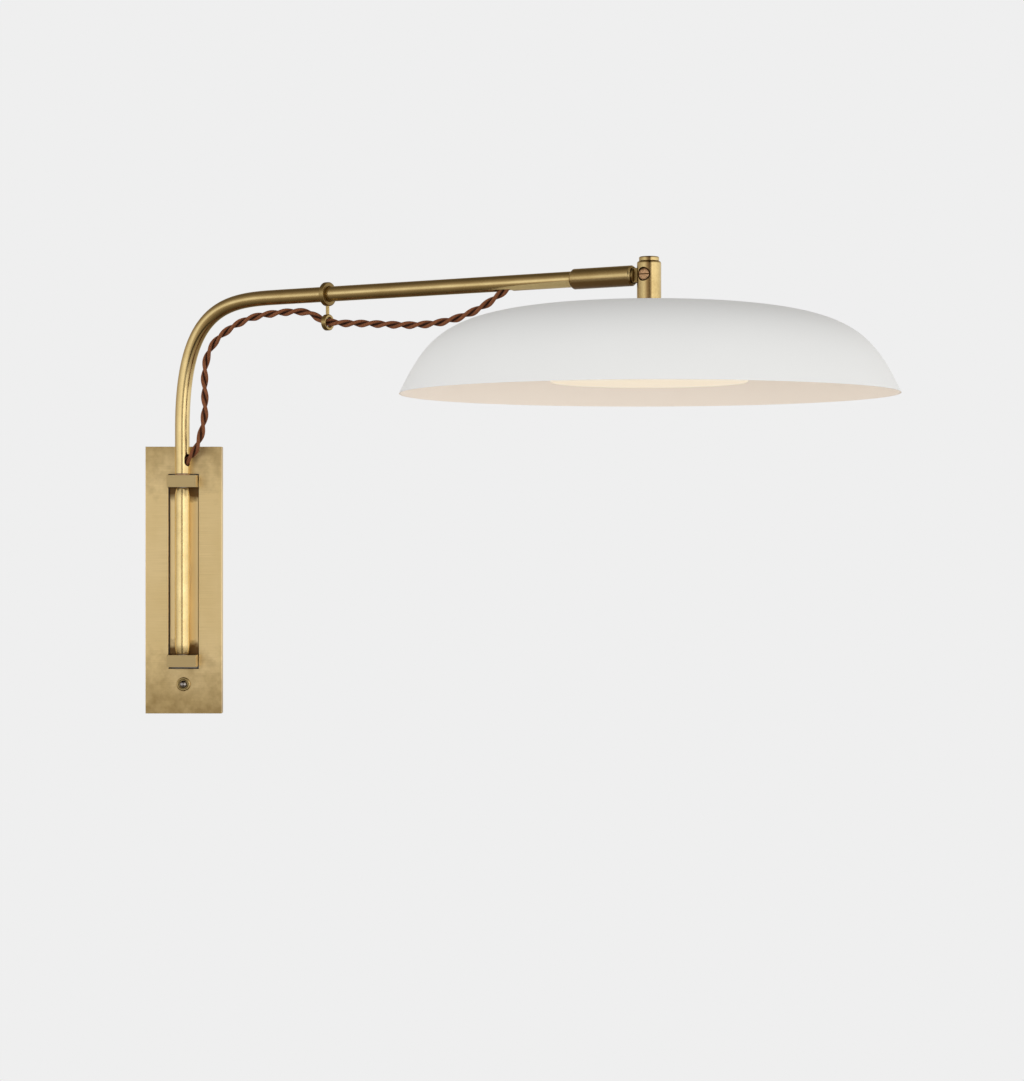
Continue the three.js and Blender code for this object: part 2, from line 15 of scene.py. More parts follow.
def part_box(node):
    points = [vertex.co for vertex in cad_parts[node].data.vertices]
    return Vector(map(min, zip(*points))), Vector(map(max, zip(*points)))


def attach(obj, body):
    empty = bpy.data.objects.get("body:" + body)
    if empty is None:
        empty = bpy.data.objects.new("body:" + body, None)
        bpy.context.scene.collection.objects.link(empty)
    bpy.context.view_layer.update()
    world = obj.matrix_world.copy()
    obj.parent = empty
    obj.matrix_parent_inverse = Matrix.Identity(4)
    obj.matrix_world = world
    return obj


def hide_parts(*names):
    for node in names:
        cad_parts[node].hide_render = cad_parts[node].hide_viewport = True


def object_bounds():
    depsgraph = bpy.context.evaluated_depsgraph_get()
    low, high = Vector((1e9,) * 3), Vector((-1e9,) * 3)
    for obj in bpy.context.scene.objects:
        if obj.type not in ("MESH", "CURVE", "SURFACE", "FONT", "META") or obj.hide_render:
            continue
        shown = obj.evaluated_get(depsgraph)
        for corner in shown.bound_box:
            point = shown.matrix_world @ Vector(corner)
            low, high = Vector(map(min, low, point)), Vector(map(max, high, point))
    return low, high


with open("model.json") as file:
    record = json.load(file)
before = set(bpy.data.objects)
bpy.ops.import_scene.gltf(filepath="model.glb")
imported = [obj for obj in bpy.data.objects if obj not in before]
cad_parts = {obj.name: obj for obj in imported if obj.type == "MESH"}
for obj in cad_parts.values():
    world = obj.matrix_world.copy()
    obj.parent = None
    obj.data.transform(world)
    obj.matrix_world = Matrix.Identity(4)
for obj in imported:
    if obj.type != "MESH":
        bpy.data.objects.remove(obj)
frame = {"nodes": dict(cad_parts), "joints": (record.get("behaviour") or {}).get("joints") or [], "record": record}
cad_low, cad_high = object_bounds()

MM = 0.001

# ------------------------------------------------------------------ axes of the lamp

joints = {joint["name"]: joint for joint in frame["joints"]}
UP = Vector((0, 0, 1))
OUT = Vector((0, -1, 0))
RIGHT = Vector((1, 0, 0))
STEM = Vector(joints["arm_swing"]["pos_m"])
PIVOT = Vector(joints["shade_tilt"]["pos_m"])
SIDE = Vector(joints["shade_tilt"]["axis"]).normalized()
ARM = UP.cross(SIDE)
REACH = (PIVOT - STEM).dot(ARM)


def on_arm(u, z, side=0.0):
    """A point in the arm's own frame: along the arm, height, and towards the room."""
    return Vector((STEM.x, STEM.y, 0)) + ARM * u + SIDE * side + UP * z


def standing(origin, along, start=None):
    """Matrix whose +Z runs along an axis and whose +X is as near start as it can be."""
    z = along.normalized()
    start = start or (ARM if abs(z.dot(ARM)) < 0.9 else UP)
    x = (start - z * start.dot(z)).normalized()
    y = z.cross(x)
    matrix = Matrix((x, y, z)).transposed().to_4x4()
    matrix.translation = origin
    return matrix


def measured(node, origin, along):
    """Low and high place of a CAD node along an axis, and its inner and outer radius."""
    axis = along.normalized()
    heights, radii = [], []
    for vertex in frame["nodes"][node].data.vertices:
        offset = vertex.co - origin
        height = offset.dot(axis)
        heights.append(height)
        radii.append((offset - axis * height).length)
    return min(heights), max(heights), min(radii), max(radii)


# ------------------------------------------------------------------ camera

CAMERA_FORWARD = 2406 * MM          # from the lens to the spindle's axis
CAMERA_RIGHT = 293 * MM             # from the spindle's axis to the lens
CAMERA_HEIGHT = 35.3 * MM
CAMERA_LENS = 90.15


def make_camera():
    data = bpy.data.cameras.new("camera")
    data.lens = CAMERA_LENS
    data.sensor_width = 36
    data.clip_start, data.clip_end = 0.05, 60
    camera = bpy.data.objects.new("camera", data)
    camera.location = (STEM.x + CAMERA_RIGHT, STEM.y - CAMERA_FORWARD, CAMERA_HEIGHT)
    camera.rotation_euler = (math.radians(90), 0, 0)
    bpy.context.scene.collection.objects.link(camera)
    bpy.context.scene.camera = camera


make_camera()

# ------------------------------------------------------------------ mesh tools

SHARP = math.radians(34)
BEVELLED_FROM = math.radians(50)


def finish_piece(bm, name, body, material, node):
    """Turns a bmesh into a shown piece that rides on a body and stands for a CAD node."""
    bmesh.ops.recalc_face_normals(bm, faces=bm.faces)
    mesh = bpy.data.meshes.new(name)
    bm.to_mesh(mesh)
    bm.free()
    piece = bpy.data.objects.new(name, mesh)
    bpy.context.scene.collection.objects.link(piece)
    shade_by_angle(mesh)
    mesh.materials.append(material)
    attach(piece, body)
    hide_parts(node)
    return piece


def shade_by_angle(mesh):
    mesh.shade_smooth()
    mesh.set_sharp_from_angle(angle=SHARP)


def lofted(rings, closed=False, bm=None):
    """Skin over rings of points. A ring of one point is a pole. The UV map is in metres."""
    bm = bm or bmesh.new()
    uv = bm.loops.layers.uv.get("surface") or bm.loops.layers.uv.new("surface")
    made = [[bm.verts.new(p) for p in ring] for ring in rings]
    sides = max(len(ring) for ring in rings)
    widest = max(sum((ring[i] - ring[i - 1]).length for i in range(len(ring))) for ring in rings)
    travel = [0.0]
    for a, b in zip(rings, rings[1:] + rings[:1]):
        travel.append(travel[-1] + (b[0] - a[0]).length)
    pairs = len(rings) if closed else len(rings) - 1
    for k in range(pairs):
        low, high = made[k], made[(k + 1) % len(made)]
        for i in range(sides):
            j = (i + 1) % sides
            corners = [(low, i, i, k), (low, j, i + 1, k), (high, j, i + 1, k + 1), (high, i, i, k + 1)]
            loop_verts, coords = [], []
            for ring, at, around, level in corners:
                vertex = ring[at] if len(ring) > 1 else ring[0]
                if vertex not in loop_verts:
                    loop_verts.append(vertex)
                    coords.append((widest * around / sides, travel[level]))
            if len(loop_verts) < 3:
                continue
            face = bm.faces.new(loop_verts)
            for loop, coord in zip(face.loops, coords):
                loop[uv].uv = coord
    return bm


def circle(matrix, radius, height, sides):
    """Ring of points at a height on a matrix's own Z, or one point where the radius is nothing."""
    if radius < 1e-7:
        return [matrix @ Vector((0, 0, height))]
    return [
        matrix @ Vector((radius * math.cos(turn), radius * math.sin(turn), height))
        for turn in (2 * math.pi * i / sides for i in range(sides))
    ]


def turned(profile, matrix, sides=96, closed=False):
    """Body of revolution from (radius, height) pairs. closed joins the last to the first."""
    return lofted([circle(matrix, r, h, sides) for r, h in profile], closed)


def eased(corners, closed=False, steps=5):
    """An outline from (radius, height, easing) corners, each rounded by its easing."""
    points = []
    count = len(corners)
    for i, (r, h, ease) in enumerate(corners):
        here = Vector((r, h))
        ends = i in (0, count - 1) and not closed
        if ends or ease <= 0:
            points.append((r, h))
            continue
        before = Vector(corners[i - 1][:2]) - here
        after = Vector(corners[(i + 1) % count][:2]) - here
        start = here + before.normalized() * min(ease, before.length * 0.48)
        end = here + after.normalized() * min(ease, after.length * 0.48)
        for k in range(steps + 1):
            t = k / steps
            p = start * (1 - t) ** 2 + here * (2 * t * (1 - t)) + end * t ** 2
            points.append((p.x, p.y))
    return points


def prism(outline, matrix, low, high):
    """Straight body with an (x, y) outline, from one height to another."""
    bm = bmesh.new()
    rings = [[bm.verts.new(matrix @ Vector((x, y, h))) for x, y in outline] for h in (low, high)]
    for i in range(len(outline)):
        bm.faces.new((rings[0][i - 1], rings[0][i], rings[1][i], rings[1][i - 1]))
    bm.faces.new(rings[0])
    bm.faces.new(rings[1])
    bmesh.ops.recalc_face_normals(bm, faces=bm.faces)
    return bm


def slot_outline(length, width, steps=14):
    """Outline of a slot with round ends, its length along x."""
    half, radius = (length - width) / 2, width / 2
    points = []
    for centre, first in ((half, -90), (-half, 90)):
        for i in range(steps + 1):
            turn = math.radians(first + 180 * i / steps)
            points.append((centre + radius * math.cos(turn), radius * math.sin(turn)))
    return points


def hoop(centre, across, radius, sides, first=0.0):
    """Ring of points in the plane of SIDE and across, from a first angle."""
    turns = (first + 2 * math.pi * i / sides for i in range(sides))
    return [centre + (SIDE * math.cos(t) + across * math.sin(t)) * radius for t in turns]


def box_outline(width, depth):
    x, y = width / 2, depth / 2
    return [(-x, -y), (x, -y), (x, y), (-x, y)]


def combined(base, tool, operation="DIFFERENCE"):
    """Boolean of two bmeshes, both freed; returns a new bmesh."""
    objects = []
    for bm in (base, tool):
        bmesh.ops.recalc_face_normals(bm, faces=bm.faces)
        mesh = bpy.data.meshes.new("work")
        bm.to_mesh(mesh)
        bm.free()
        work = bpy.data.objects.new("work", mesh)
        bpy.context.scene.collection.objects.link(work)
        objects.append(work)
    body, other = objects
    modifier = body.modifiers.new("cut", "BOOLEAN")
    modifier.operation, modifier.object, modifier.solver = operation, other, "EXACT"
    bpy.context.view_layer.update()
    result = bmesh.new()
    result.from_object(body, bpy.context.evaluated_depsgraph_get())
    for work in objects:
        mesh = work.data
        bpy.data.objects.remove(work)
        bpy.data.meshes.remove(mesh)
    return result


def bevelled(piece, width):
    modifier = piece.modifiers.new("soft_edges", "BEVEL")
    modifier.width = width
    modifier.segments = 3
    modifier.limit_method = "ANGLE"
    modifier.angle_limit = BEVELLED_FROM
    modifier.harden_normals = True
    return piece


def from_node(node):
    """Clean copy of a CAD node's faceted mesh, its flat faces joined."""
    bm = bmesh.new()
    bm.from_mesh(frame["nodes"][node].data)
    bmesh.ops.remove_doubles(bm, verts=bm.verts, dist=0.002 * MM)
    bmesh.ops.dissolve_limit(bm, angle_limit=math.radians(0.5), verts=bm.verts, edges=bm.edges)
    return bm


# ------------------------------------------------------------------ material tools

def new_group(name, inputs, outputs):
    """Node group with inputs of (name, kind, value) and outputs of (name, kind)."""
    group = bpy.data.node_groups.new(name, "ShaderNodeTree")
    for label, kind, value in inputs:
        made = group.interface.new_socket(name=label, in_out="INPUT", socket_type=kind)
        if value is not None:
            made.default_value = value
    for label, kind in outputs:
        group.interface.new_socket(name=label, in_out="OUTPUT", socket_type=kind)
    return group, group.nodes.new("NodeGroupInput"), group.nodes.new("NodeGroupOutput")


def link(tree, source, target):
    tree.links.new(source, target)


def noise(tree, vector, scale, detail=3.0, roughness=0.55):
    node = tree.nodes.new("ShaderNodeTexNoise")
    node.inputs["Detail"].default_value = detail
    node.inputs["Roughness"].default_value = roughness
    link(tree, vector, node.inputs["Vector"])
    if isinstance(scale, (int, float)):
        node.inputs["Scale"].default_value = scale
    else:
        link(tree, scale, node.inputs["Scale"])
    return node.outputs["Fac"]


def ramp(tree, value, low, high, to_low=0.0, to_high=1.0):
    node = tree.nodes.new("ShaderNodeMapRange")
    for name, number in (("From Min", low), ("From Max", high), ("To Min", to_low), ("To Max", to_high)):
        node.inputs[name].default_value = number
    link(tree, value, node.inputs["Value"])
    return node.outputs["Result"]


def maths(tree, operation, a, b=None):
    node = tree.nodes.new("ShaderNodeMath")
    node.operation = operation
    for value, target in zip((a, b), node.inputs):
        if value is None:
            continue
        if isinstance(value, (int, float)):
            target.default_value = value
        else:
            link(tree, value, target)
    return node.outputs[0]


def blend_colours(tree, factor, a, b):
    node = tree.nodes.new("ShaderNodeMix")
    node.data_type = "RGBA"
    link(tree, factor, node.inputs[0])
    for value, target in ((a, node.inputs[6]), (b, node.inputs[7])):
        if isinstance(value, tuple):
            target.default_value = (*value, 1)
        else:
            link(tree, value, target)
    return node.outputs[2]


def scaled(tree, vector, factors):
    """A vector or colour times another, channel by channel."""
    node = tree.nodes.new("ShaderNodeVectorMath")
    node.operation = "MULTIPLY"
    link(tree, vector, node.inputs[0])
    link(tree, factors, node.inputs[1])
    return node.outputs[0]


def split(tree, vector):
    """The x, y and z of a vector."""
    node = tree.nodes.new("ShaderNodeSeparateXYZ")
    link(tree, vector, node.inputs[0])
    return node.outputs


def make_mottle():
    """Cloudy patina: broad stains, small freckles and a mask of both."""
    group, given, out = new_group(
        "patina_clouds",
        [("Vector", "NodeSocketVector", None), ("Broad", "NodeSocketFloat", 30.0),
         ("Fine", "NodeSocketFloat", 260.0)],
        [("Stain", "NodeSocketFloat"), ("Freckle", "NodeSocketFloat"), ("Both", "NodeSocketFloat")],
    )
    broad = noise(group, given.outputs["Vector"], given.outputs["Broad"], 4.0, 0.6)
    stain = ramp(group, broad, 0.35, 0.68)
    fine = noise(group, given.outputs["Vector"], given.outputs["Fine"], 3.0, 0.6)
    freckle = ramp(group, fine, 0.5, 0.72)
    both = maths(group, "ADD", maths(group, "MULTIPLY", stain, 0.7), maths(group, "MULTIPLY", freckle, 0.3))
    link(group, stain, out.inputs["Stain"])
    link(group, freckle, out.inputs["Freckle"])
    link(group, both, out.inputs["Both"])
    return group


def make_grain():
    """Fine lines left by polishing. Stretch is small along the direction they run in."""
    group, given, out = new_group(
        "brushed_grain",
        [("Vector", "NodeSocketVector", None), ("Stretch", "NodeSocketVector", (1.0, 0.02, 1.0)),
         ("Lines", "NodeSocketFloat", 3000.0)],
        [("Height", "NodeSocketFloat"), ("Sheen", "NodeSocketFloat")],
    )
    drawn_out = scaled(group, given.outputs["Vector"], given.outputs["Stretch"])
    height = noise(group, drawn_out, given.outputs["Lines"], 2.0, 0.5)
    link(group, height, out.inputs["Height"])
    link(group, ramp(group, height, 0.3, 0.7), out.inputs["Sheen"])
    return group


def make_painted_shade_masks():
    """Masks for painted shade and light: near two heights, behind a given depth, and past both flanks."""
    group, given, out = new_group(
        "painted_shade_corners",
        [("Vector", "NodeSocketVector", None), ("Low", "NodeSocketFloat", 0.0),
         ("High", "NodeSocketFloat", 0.0), ("Spread", "NodeSocketFloat", 0.01),
         ("Front", "NodeSocketFloat", 0.0), ("Flank", "NodeSocketFloat", 1.0)],
        [("Ends", "NodeSocketFloat"), ("Depth", "NodeSocketFloat"), ("Flanks", "NodeSocketFloat")],
    )
    x, y, height = split(group, given.outputs["Vector"])
    spread = given.outputs["Spread"]
    above = maths(group, "DIVIDE", maths(group, "SUBTRACT", height, given.outputs["Low"]), spread)
    below = maths(group, "DIVIDE", maths(group, "SUBTRACT", given.outputs["High"], height), spread)
    nearest = maths(group, "MINIMUM", maths(group, "ABSOLUTE", above), maths(group, "ABSOLUTE", below))
    ragged = ramp(group, noise(group, given.outputs["Vector"], 90.0, 3.0, 0.6), 0.3, 0.7, -0.25, 0.25)
    link(group, ramp(group, maths(group, "ADD", nearest, ragged), 1.0, 0.0), out.inputs["Ends"])
    behind = maths(group, "SUBTRACT", y, given.outputs["Front"])
    link(group, ramp(group, behind, 0.0, 0.3 * MM), out.inputs["Depth"])
    past = maths(group, "SUBTRACT", maths(group, "ABSOLUTE", x), given.outputs["Flank"])
    link(group, ramp(group, past, 0.0, 0.9 * MM), out.inputs["Flanks"])
    return group


def use_group(tree, group, **inputs):
    node = tree.nodes.new("ShaderNodeGroup")
    node.node_tree = group
    for name, value in inputs.items():
        if isinstance(value, (int, float, tuple)):
            node.inputs[name].default_value = value
        else:
            link(tree, value, node.inputs[name])
    return node.outputs


def new_material(name):
    material = bpy.data.materials.new(name)
    material.use_nodes = True
    tree = material.node_tree
    shader = tree.nodes["Principled BSDF"]
    coords = tree.nodes.new("ShaderNodeTexCoord")
    return material, tree, shader, coords.outputs


def bump(tree, shader, height, strength, distance):
    node = tree.nodes.new("ShaderNodeBump")
    node.inputs["Strength"].default_value = strength
    node.inputs["Distance"].default_value = distance
    link(tree, height, node.inputs["Height"])
    link(tree, node.outputs["Normal"], shader.inputs["Normal"])


mottle = make_mottle()
grain = make_grain()
painted_shade_group = make_painted_shade_masks()

BRASS_BRIGHT = (0.68, 0.52, 0.245)
BRASS_WORN = (0.57, 0.42, 0.185)
# Darker brass for freckles and polish lines, and for the painted shade towards a sheet's ends.
BRASS_DARK = (0.30, 0.19, 0.065)
# Brown used for painted shade and the painted reflection band.
PAINTED_DARK_BROWN = (0.13, 0.062, 0.018)
LENGTHWAYS = (1.0, 0.02, 1.0)
ROUND_ABOUT = (0.02, 1.0, 1.0)
POLISH_LINES = 2600.0
# The painted reflection, a brown band up a post, by how far its surface turns sideways from facing the room.
BAND_TURN, BAND_EDGE, BAND_CORE = 0.11, 0.36, 0.1


def toned(colour, tone):
    return tuple(channel * tone ** power for channel, power in zip(colour, (1.0, 1.1, 1.35)))


def antique_brass(name, stretch, rough=0.27, freckles=0.25, tone=1.0, underside_shade=0.0, band=0.0):
    """Hand-rubbed brass with its polishing lines along its UV map.

    Painted shade makes it browner underneath by one amount, and a painted reflection makes a brown band up its
    front by another.
    """
    material, tree, shader, coords = new_material(name)
    clouds = use_group(tree, mottle, Vector=coords["Object"], Broad=38.0, Fine=700.0)
    brushed = use_group(tree, grain, Vector=coords["UV"], Stretch=stretch, Lines=POLISH_LINES)
    base = blend_colours(tree, clouds["Stain"], toned(BRASS_BRIGHT, tone), toned(BRASS_WORN, tone))
    deep = maths(tree, "MULTIPLY", clouds["Freckle"], freckles)
    speckled = blend_colours(tree, deep, base, BRASS_DARK)
    sideways, backwards, upwards = split(tree, coords["Normal"])
    # Painted shade: faces turned down are blended towards brown.
    beneath = ramp(tree, upwards, 0.1, -0.45, 0.0, underside_shade)
    # Painted reflection: a brown band up the front, where the surface faces the room.
    from_band = maths(tree, "ABSOLUTE", maths(tree, "ADD", sideways, BAND_TURN))
    banded = maths(tree, "MULTIPLY", ramp(tree, from_band, BAND_EDGE, BAND_CORE, 0.0, band),
                   ramp(tree, backwards, -0.5, -0.8))
    # Painted shade underneath or the painted reflection band, whichever is stronger.
    brown = maths(tree, "MAXIMUM", beneath, banded)
    link(tree, blend_colours(tree, brown, speckled, PAINTED_DARK_BROWN), shader.inputs["Base Color"])
    shader.inputs["Metallic"].default_value = 1.0
    rough_clouds = ramp(tree, clouds["Both"], 0.0, 1.0, rough - 0.03, rough + 0.06)
    rough_lines = ramp(tree, brushed["Sheen"], 0.0, 1.0, -0.02, 0.03)
    link(tree, maths(tree, "ADD", rough_clouds, rough_lines), shader.inputs["Roughness"])
    bump(tree, shader, brushed["Height"], 0.12, 0.015 * MM)
    return material


def flat_brass(name, colours, low, high, spread, end_shade, top_bottom_shade, front=1.0, flank=1.0,
               recess=PAINTED_DARK_BROWN, recess_corner_shade=0.0):
    """Brushed sheet or bar brass, with painted shade towards its ends, in the corners behind its face and on its
    faces turned up or down; behind its face it takes the recess colour, which on the bar is lighter, painted
    light.
    """
    material, tree, shader, coords = new_material(name)
    clouds = use_group(tree, mottle, Vector=coords["Object"], Broad=14.0, Fine=1200.0)
    brushed = use_group(tree, grain, Vector=coords["Object"], Stretch=(0.015, 0.3, 1.0), Lines=2200.0)
    corners = use_group(tree, painted_shade_group, Vector=coords["Object"], Low=low, High=high, Spread=spread,
                        Front=front, Flank=flank)
    base = blend_colours(tree, clouds["Stain"], *colours)
    lined = blend_colours(tree, ramp(tree, brushed["Height"], 0.35, 0.75, 0.0, 0.13), base, BRASS_DARK)
    # Painted shade towards the two heights.
    ended = blend_colours(tree, maths(tree, "MULTIPLY", corners["Ends"], end_shade), lined, BRASS_DARK)
    # Painted shade in the corners behind the face: near the two heights and past both flanks.
    gathered = ramp(tree, corners["Ends"], 0.05, 0.6)
    corner = maths(tree, "MAXIMUM", gathered, corners["Flanks"])
    deep = blend_colours(tree, maths(tree, "MULTIPLY", corner, recess_corner_shade), recess, PAINTED_DARK_BROWN)
    _, _, upwards = split(tree, coords["Normal"])
    # Painted shade on faces turned up or down.
    edge = ramp(tree, maths(tree, "ABSOLUTE", upwards), 0.25, 0.7, 0.0, top_bottom_shade)
    edged = blend_colours(tree, edge, blend_colours(tree, corners["Depth"], ended, deep), PAINTED_DARK_BROWN)
    link(tree, edged, shader.inputs["Base Color"])
    shader.inputs["Metallic"].default_value = 1.0
    rough = ramp(tree, clouds["Both"], 0.0, 1.0, 0.33, 0.40)
    link(tree, maths(tree, "ADD", rough, ramp(tree, brushed["Sheen"], 0, 1, -0.03, 0.04)),
         shader.inputs["Roughness"])
    bump(tree, shader, brushed["Height"], 0.1, 0.02 * MM)
    return material


def plain_metal(name, colour, rough, dark=(0.6, 0.6, 0.6)):
    material, tree, shader, coords = new_material(name)
    clouds = use_group(tree, mottle, Vector=coords["Object"], Broad=80.0, Fine=600.0)
    shaded = tuple(c * d for c, d in zip(colour, dark))
    link(tree, blend_colours(tree, clouds["Freckle"], colour, shaded), shader.inputs["Base Color"])
    shader.inputs["Metallic"].default_value = 1.0
    link(tree, ramp(tree, clouds["Both"], 0, 1, rough - 0.04, rough + 0.1), shader.inputs["Roughness"])
    bump(tree, shader, clouds["Freckle"], 0.1, 0.02 * MM)
    return material


def powder_coat(name, colour, rough):
    """Matt baked powder coat with a very fine orange peel."""
    material, tree, shader, coords = new_material(name)
    peel = noise(tree, coords["Object"], 900.0, 2.0, 0.5)
    cloud = noise(tree, coords["Object"], 9.0, 2.0, 0.5)
    soft = tuple(c * 0.985 for c in colour)
    coat = blend_colours(tree, ramp(tree, cloud, 0.35, 0.65), colour, soft)
    link(tree, coat, shader.inputs["Base Color"])
    link(tree, ramp(tree, peel, 0.3, 0.7, rough - 0.05, rough + 0.05), shader.inputs["Roughness"])
    bump(tree, shader, peel, 0.12, 0.03 * MM)
    return material


def painted_lamp_glow(material, glow, strength):
    """Paints the warm light that a coat inside the shade takes from the lamp, as a glow."""
    shader = material.node_tree.nodes["Principled BSDF"]
    shader.inputs["Emission Color"].default_value = (*glow, 1)
    shader.inputs["Emission Strength"].default_value = strength
    return material


def moulded(name, colour, rough):
    """Moulded plastic or lacquer with a fine speckle."""
    material, tree, shader, coords = new_material(name)
    speck = noise(tree, coords["Object"], 1500.0, 2.0, 0.5)
    lighter = tuple(min(1.0, c * 1.15 + 0.01) for c in colour)
    speckled = blend_colours(tree, ramp(tree, speck, 0.4, 0.6), colour, lighter)
    link(tree, speckled, shader.inputs["Base Color"])
    link(tree, ramp(tree, speck, 0.3, 0.7, rough - 0.06, rough + 0.06), shader.inputs["Roughness"])
    bump(tree, shader, speck, 0.1, 0.02 * MM)
    return material


def opal_lens(name):
    """Satin opal acrylic, lit from behind, with a faint haze."""
    material, tree, shader, coords = new_material(name)
    haze = noise(tree, coords["Object"], 24.0, 2.0, 0.5)
    warm = blend_colours(tree, ramp(tree, haze, 0.3, 0.7), (0.93, 0.84, 0.70), (0.95, 0.87, 0.74))
    link(tree, warm, shader.inputs["Base Color"])
    glow = blend_colours(tree, ramp(tree, haze, 0.3, 0.7), (1.0, 0.82, 0.58), (1.0, 0.84, 0.61))
    link(tree, glow, shader.inputs["Emission Color"])
    shader.inputs["Emission Strength"].default_value = 0.42
    shader.inputs["Roughness"].default_value = 0.45
    return material


CORD_DIAMETER = 6.8 * MM
STRAND = CORD_DIAMETER / 4
STRAND_GIRTH = 2 * math.pi * STRAND
YARN_PITCH = 1.35 * MM


def woven_cord(name):
    """Braided cotton: two crossing sets of yarns over the round strand, with painted shade in the weave's hollows
    and on each strand's side that faces the other.
    """
    material, tree, shader, coords = new_material(name)
    around, along, _ = split(tree, coords["UV"])
    yarn = 2 * math.pi / YARN_PITCH
    waves = []
    for direction in (1, -1):
        slope = maths(tree, "MULTIPLY", around, direction * yarn)
        phase = maths(tree, "ADD", slope, maths(tree, "MULTIPLY", along, yarn * 0.8))
        waves.append(maths(tree, "SINE", phase))
    weave = maths(tree, "MAXIMUM", waves[0], waves[1])
    height = ramp(tree, weave, -0.2, 1.0)
    fuzz = noise(tree, coords["Object"], 1400.0, 3.0, 0.6)
    tone = noise(tree, coords["Object"], 220.0, 2.0, 0.5)
    # Painted shade: the weave's hollows darker than its crests.
    base = blend_colours(tree, height, (0.095, 0.031, 0.012), (0.325, 0.115, 0.046))
    brown = blend_colours(tree, ramp(tree, tone, 0.35, 0.65, 0, 0.5), base, (0.225, 0.078, 0.031))
    lit = blend_colours(tree, ramp(tree, fuzz, 0.55, 0.8, 0, 0.3), brown, (0.30, 0.125, 0.058))
    # Painted shade on each strand's side that faces the other strand.
    outward = maths(tree, "COSINE", maths(tree, "MULTIPLY", around, 2 * math.pi / STRAND_GIRTH))
    crevice_shade = ramp(tree, outward, 0.1, -0.75, 0.0, 0.95)
    link(tree, blend_colours(tree, crevice_shade, lit, (0.030, 0.009, 0.004)), shader.inputs["Base Color"])
    shader.inputs["Roughness"].default_value = 0.85
    shader.inputs["Specular IOR Level"].default_value = 0.2
    bump(tree, shader, maths(tree, "ADD", height, maths(tree, "MULTIPLY", fuzz, 0.4)), 0.8, 0.25 * MM)
    return material


finishes = {
    "antique_brass": antique_brass("antique_brass_turned", ROUND_ABOUT),
    "bronze": plain_metal("turned_bronze", (0.50, 0.30, 0.16), 0.34, (0.5, 0.45, 0.4)),
    "zinc_steel": plain_metal("zinc_plate", (0.46, 0.47, 0.48), 0.36),
    "green_steel": plain_metal("green_plate", (0.05, 0.22, 0.07), 0.4),
    "dark_nickel": plain_metal("dark_nickel", (0.34, 0.31, 0.29), 0.3, (0.7, 0.7, 0.7)),
    "white_enamel": powder_coat("white_powder_coat", (0.86, 0.86, 0.845), 0.58),
    "opal_acrylic": opal_lens("opal_acrylic"),
    "brown_cloth": woven_cord("braided_cloth"),
    "bare_aluminium": plain_metal("bare_aluminium", (0.60, 0.61, 0.63), 0.38),
    "black_plastic": moulded("black_plastic", (0.02, 0.02, 0.021), 0.45),
    "nylon": moulded("natural_nylon", (0.66, 0.64, 0.56), 0.5),
    "board_white": moulded("board_white", (0.85, 0.85, 0.82), 0.4),
}
drawn_brass = antique_brass("antique_brass_drawn", LENGTHWAYS, rough=0.2, freckles=0.12, tone=1.06)
sleeve_brass = antique_brass("antique_brass_sleeve", LENGTHWAYS, rough=0.24, freckles=0.12, tone=1.12)
# The end sleeve's brass, browned underneath by painted shade.
satin_brass = antique_brass("antique_brass_satin", ROUND_ABOUT, rough=0.2, freckles=0.3, tone=1.02,
                            underside_shade=0.92)
# A dark copy of the brass, its darkness painted shade, also browned underneath by painted shade; used for the neck
# and the clip collar's end faces.
shaded_brass = antique_brass("antique_brass_painted_shade", LENGTHWAYS, rough=0.42, freckles=0.6, tone=0.42,
                           underside_shade=0.9)
nut_brass = antique_brass("antique_brass_nut", ROUND_ABOUT, rough=0.34, freckles=0.7, tone=0.72)
clip_brass = antique_brass("antique_brass_clip", ROUND_ABOUT, rough=0.27, freckles=0.4, tone=0.64)
# Brass for the post and cap, with the painted reflection band up their front.
warm_brass = antique_brass("antique_brass_warm", LENGTHWAYS, rough=0.24, freckles=0.3, tone=0.88,
                           band=0.8)
# Painted shade darkens the sheet towards its top and bottom and on its faces turned up or down.
plate_brass = flat_brass("antique_brass_sheet", ((0.94, 0.73, 0.385), (0.85, 0.645, 0.31)),
                         low=-121 * MM, high=137 * MM, spread=62 * MM, end_shade=0.75,
                         top_bottom_shade=0.6)
# Painted shade darkens the bar's faces turned up or down and its recess near the lugs and at its flanks; the
# lighter recess colour is painted light.
bracket_brass = flat_brass("antique_brass_bar", ((0.60, 0.455, 0.225), (0.53, 0.39, 0.18)),
                           low=-66.3 * MM, high=82.6 * MM, spread=15 * MM, end_shade=0.0,
                           top_bottom_shade=0.9, front=-8 * MM, flank=12.0 * MM,
                           recess=(1.0, 0.77, 0.40), recess_corner_shade=0.95)
# Dark brown put on bores, slots, pockets and the plate's inside: painted shade.
shadow_brass = plain_metal("painted_shadow_brown", PAINTED_DARK_BROWN, 0.5)
# The inside coat: a warmer white and a faint glow, both painted light from the lamp.
inner_enamel = painted_lamp_glow(powder_coat("white_powder_coat_lit", (0.86, 0.80, 0.73), 0.58),
                           glow=(1.0, 0.77, 0.55), strength=0.165)

slot_of = {row["node"]: row["material_slot"] for row in frame["record"]["subparts"]}
body_of = {
    node: body
    for body, nodes in frame["record"]["behaviour"]["bodies"].items()
    for node in nodes
}


def stand_in(bm, node, material=None):
    """The finished form of one CAD node, on its body and in its slot."""
    slot = slot_of[node]
    return finish_piece(bm, f"{node}_finished", body_of[node], material or finishes[slot], node)


# ------------------------------------------------------------------ the cord

